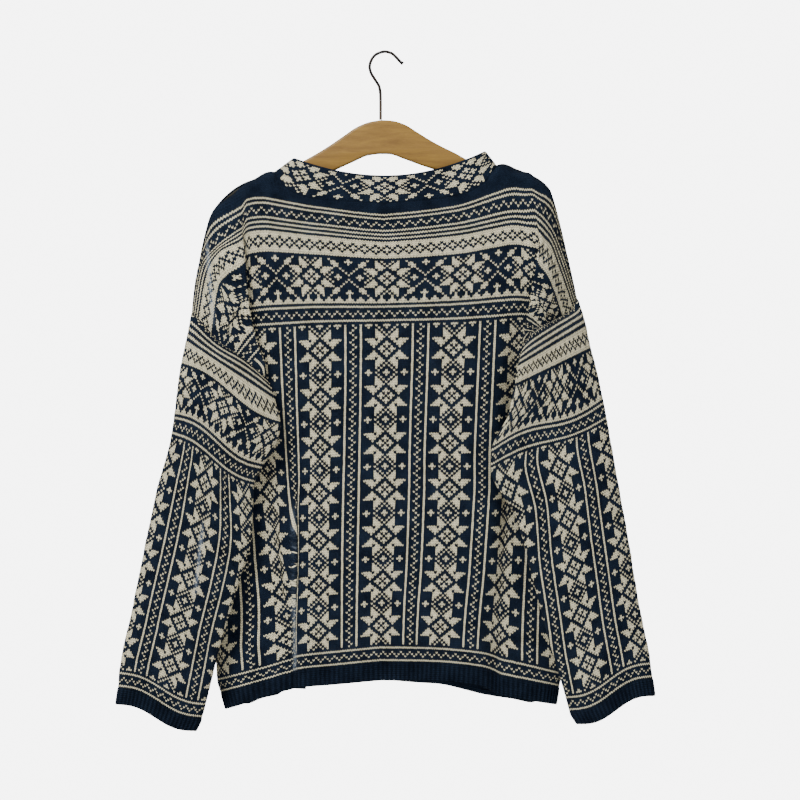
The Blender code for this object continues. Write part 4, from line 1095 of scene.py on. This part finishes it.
cream = stitchColours(creamNeck, bandWales, bandRows, True)
cream[0] = 0
pieces["neck_band"] = knitShell("neck_band_knit", grid, bandWales, bandRows, cream, bandThick, closed=True)
dress(pieces["neck_band"], "neck_band", wool)

# The hanger: a bow sawn from a board, with its edges rounded over. Its outlines are out from the
# apex and drop below it.
hanger = {
    "thick": 11.0, "round": 3.2, "roundSteps": 5, "tilt": 3.2, "apexX": -5.2, "apexDrop": 87.1,
    "points": 60,
}
woodTop = (
    (0, 0), (14, 1.6), (29, 6.5), (49, 19), (65, 29.5), (84, 40.5), (97.6, 47.6), (120, 60.8),
    (146, 73.6), (179, 86.3), (187, 91),
)
woodBottom = (
    (192.5, 96.5), (194, 101), (190, 104), (175, 99.5), (140, 91), (110, 82), (73, 68.5), (57, 62.5),
    (34, 53), (13, 45.2), (0, 44.2),
)


def pickNothing():
    if bpy.context.object and bpy.context.object.mode == "EDIT":
        bpy.ops.object.mode_set(mode="OBJECT")
    bpy.ops.object.select_all(action="DESELECT")


def evenCurve(points, count):
    # the same outline at even steps, through a smooth curve
    points = np.asarray(points, float)
    run = np.concatenate(([0], np.cumsum(np.linalg.norm(np.diff(points, axis=0), axis=1))))
    return smooth(run, points, np.linspace(0, run[-1], count))


def makeWood():
    half = np.concatenate((evenCurve(woodTop, hanger["points"]), evenCurve(woodBottom, hanger["points"])))
    outline = np.concatenate((half, (half * (-1, 1))[::-1][1:-1]))
    tilt = math.radians(hanger["tilt"])
    x = hanger["apexX"] + outline[:, 0] * math.cos(tilt) - outline[:, 1] * math.sin(tilt)
    z = -hanger["apexDrop"] - outline[:, 1] * math.cos(tilt) + outline[:, 0] * math.sin(tilt)
    pickNothing()
    bpy.ops.mesh.primitive_circle_add(vertices=len(outline), radius=0.1, fill_type="NGON")
    board = bpy.context.object
    board.name = board.data.name = "hanger_bow"
    for vertex, px, pz in zip(board.data.vertices, x, z):
        vertex.co = (px * mm, -hanger["thick"] / 2 * mm, pz * mm)
    bpy.ops.object.mode_set(mode="EDIT")
    bpy.ops.mesh.select_all(action="SELECT")
    bpy.ops.mesh.extrude_region_move(TRANSFORM_OT_translate={"value": (0, hanger["thick"] * mm, 0)})
    bpy.ops.mesh.select_all(action="SELECT")
    bpy.ops.mesh.normals_make_consistent(inside=False)
    bpy.ops.object.mode_set(mode="OBJECT")
    bevel = board.modifiers.new("rounded edges", "BEVEL")
    bevel.width = hanger["round"] * mm
    bevel.segments = hanger["roundSteps"]
    bevel.limit_method = "ANGLE"
    bevel.angle_limit = math.radians(60)
    bpy.ops.object.modifier_apply(modifier=bevel.name)
    bpy.ops.object.shade_smooth_by_angle(angle=math.radians(40))
    dress(board, "hanger_wood", wood)


# the hook: one wire bent by hand, with a flared tip
hook = {"wire": 3.8, "tip": 1.3, "tipFrom": 5, "tipOver": 4, "points": 110}
hookLine = (
    (-5.7, 86.7), (-5.7, 70), (-5.9, 54), (-7.4, 44.2), (-13.4, 33.8), (-18.7, 24.4), (-20, 17.8),
    (-17.4, 8.6), (-10.8, 1.3), (0, -1.9), (7.8, 0), (14.3, 5.2), (19.8, 11.2), (23.4, 13.9),
)


def makeHook():
    line = evenCurve(hookLine, hook["points"])
    pickNothing()
    bpy.ops.curve.primitive_nurbs_path_add()
    bent = bpy.context.object
    bent.name = "hanger_wire"
    curve = bent.data
    curve.splines.clear()
    spline = curve.splines.new("POLY")
    spline.points.add(len(line) - 1)
    for k, (px, drop) in enumerate(line):
        spline.points[k].co = (px * mm, 0, -drop * mm, 1)
        towardsTip = float(ease((k - len(line) + hook["tipFrom"]) / hook["tipOver"]))
        spline.points[k].radius = 1 + (hook["tip"] - 1) * towardsTip
    curve.bevel_depth = hook["wire"] / 2 * mm
    curve.bevel_resolution = 6
    curve.use_fill_caps = True
    bpy.ops.object.convert(target="MESH")
    bent = bpy.context.object
    bpy.ops.object.mode_set(mode="EDIT")
    bpy.ops.mesh.select_all(action="SELECT")
    bpy.ops.mesh.remove_doubles(threshold=0.00001)
    bpy.ops.mesh.normals_make_consistent(inside=False)
    bpy.ops.object.mode_set(mode="OBJECT")
    bpy.ops.object.shade_smooth_by_angle(angle=math.radians(50))
    dress(bent, "hanger_hook", wire)


makeWood()
makeHook()

# The floor, the light and the camera, in metres.
stage = {
    "middle": (0.02, 0, -0.45), "floorDrop": -1.3, "floorHalf": 1.6, "ambient": 0.55, "backdrop": 6.4,
    "camera": 8.0, "cameraX": 0.0195, "cameraZ": -0.451, "viewWide": 1.04, "sensor": 36,
}
lamps = {  # place, size, power
    "key": ((-1.8, -2.6, 2.2), 1.4, 285),
    "fill": ((2.2, -2.8, -0.2), 2.2, 35),
}
bpy.ops.object.select_all(action="DESELECT")
floorPlace = (stage["middle"][0], 0, stage["floorDrop"])
bpy.ops.mesh.primitive_plane_add(size=stage["floorHalf"] * 2, location=floorPlace)
floor = bpy.context.object
floor.name = "floor"
floorMaterial, floorTree, floorShader = makeMaterial("pale floor")
floorShader.inputs["Base Color"].default_value = (0.8, 0.8, 0.8, 1)
floorShader.inputs["Roughness"].default_value = 0.9
floor.data.materials.append(floorMaterial)

world = bpy.data.worlds.new("studio")
world.use_nodes = True
worldTree = world.node_tree
ambient = worldTree.nodes["Background"]
ambient.inputs[0].default_value = (1, 1, 1, 1)
ambient.inputs[1].default_value = stage["ambient"]
paper = addNode(worldTree, "ShaderNodeBackground", {0: (1, 1, 1, 1), 1: stage["backdrop"]})
seen = addNode(worldTree, "ShaderNodeLightPath")
both = addNode(worldTree, "ShaderNodeMixShader")
worldTree.links.new(seen.outputs["Is Camera Ray"], both.inputs[0])
worldTree.links.new(ambient.outputs[0], both.inputs[1])
worldTree.links.new(paper.outputs[0], both.inputs[2])
worldTree.links.new(both.outputs[0], worldTree.nodes["World Output"].inputs[0])
bpy.context.scene.world = world

for name, (place, size, power) in lamps.items():
    data = bpy.data.lights.new(name, "AREA")
    data.energy, data.size = power, size
    lamp = bpy.data.objects.new(name, data)
    bpy.context.collection.objects.link(lamp)
    lamp.location = place
    way = np.array(stage["middle"]) - np.array(place)
    tip = math.atan2(math.hypot(way[0], way[1]), -way[2])
    lamp.rotation_euler = (tip, 0, math.atan2(way[1], way[0]) - math.pi / 2)

cameraData = bpy.data.cameras.new("camera")
cameraData.sensor_width = stage["sensor"]
cameraData.lens = stage["sensor"] * stage["camera"] / stage["viewWide"]
cameraObject = bpy.data.objects.new("camera", cameraData)
bpy.context.collection.objects.link(cameraObject)
cameraObject.location = (stage["cameraX"], -stage["camera"], stage["cameraZ"])
cameraObject.rotation_euler = (math.pi / 2, 0, 0)
bpy.context.scene.camera = cameraObject
print("stage set")
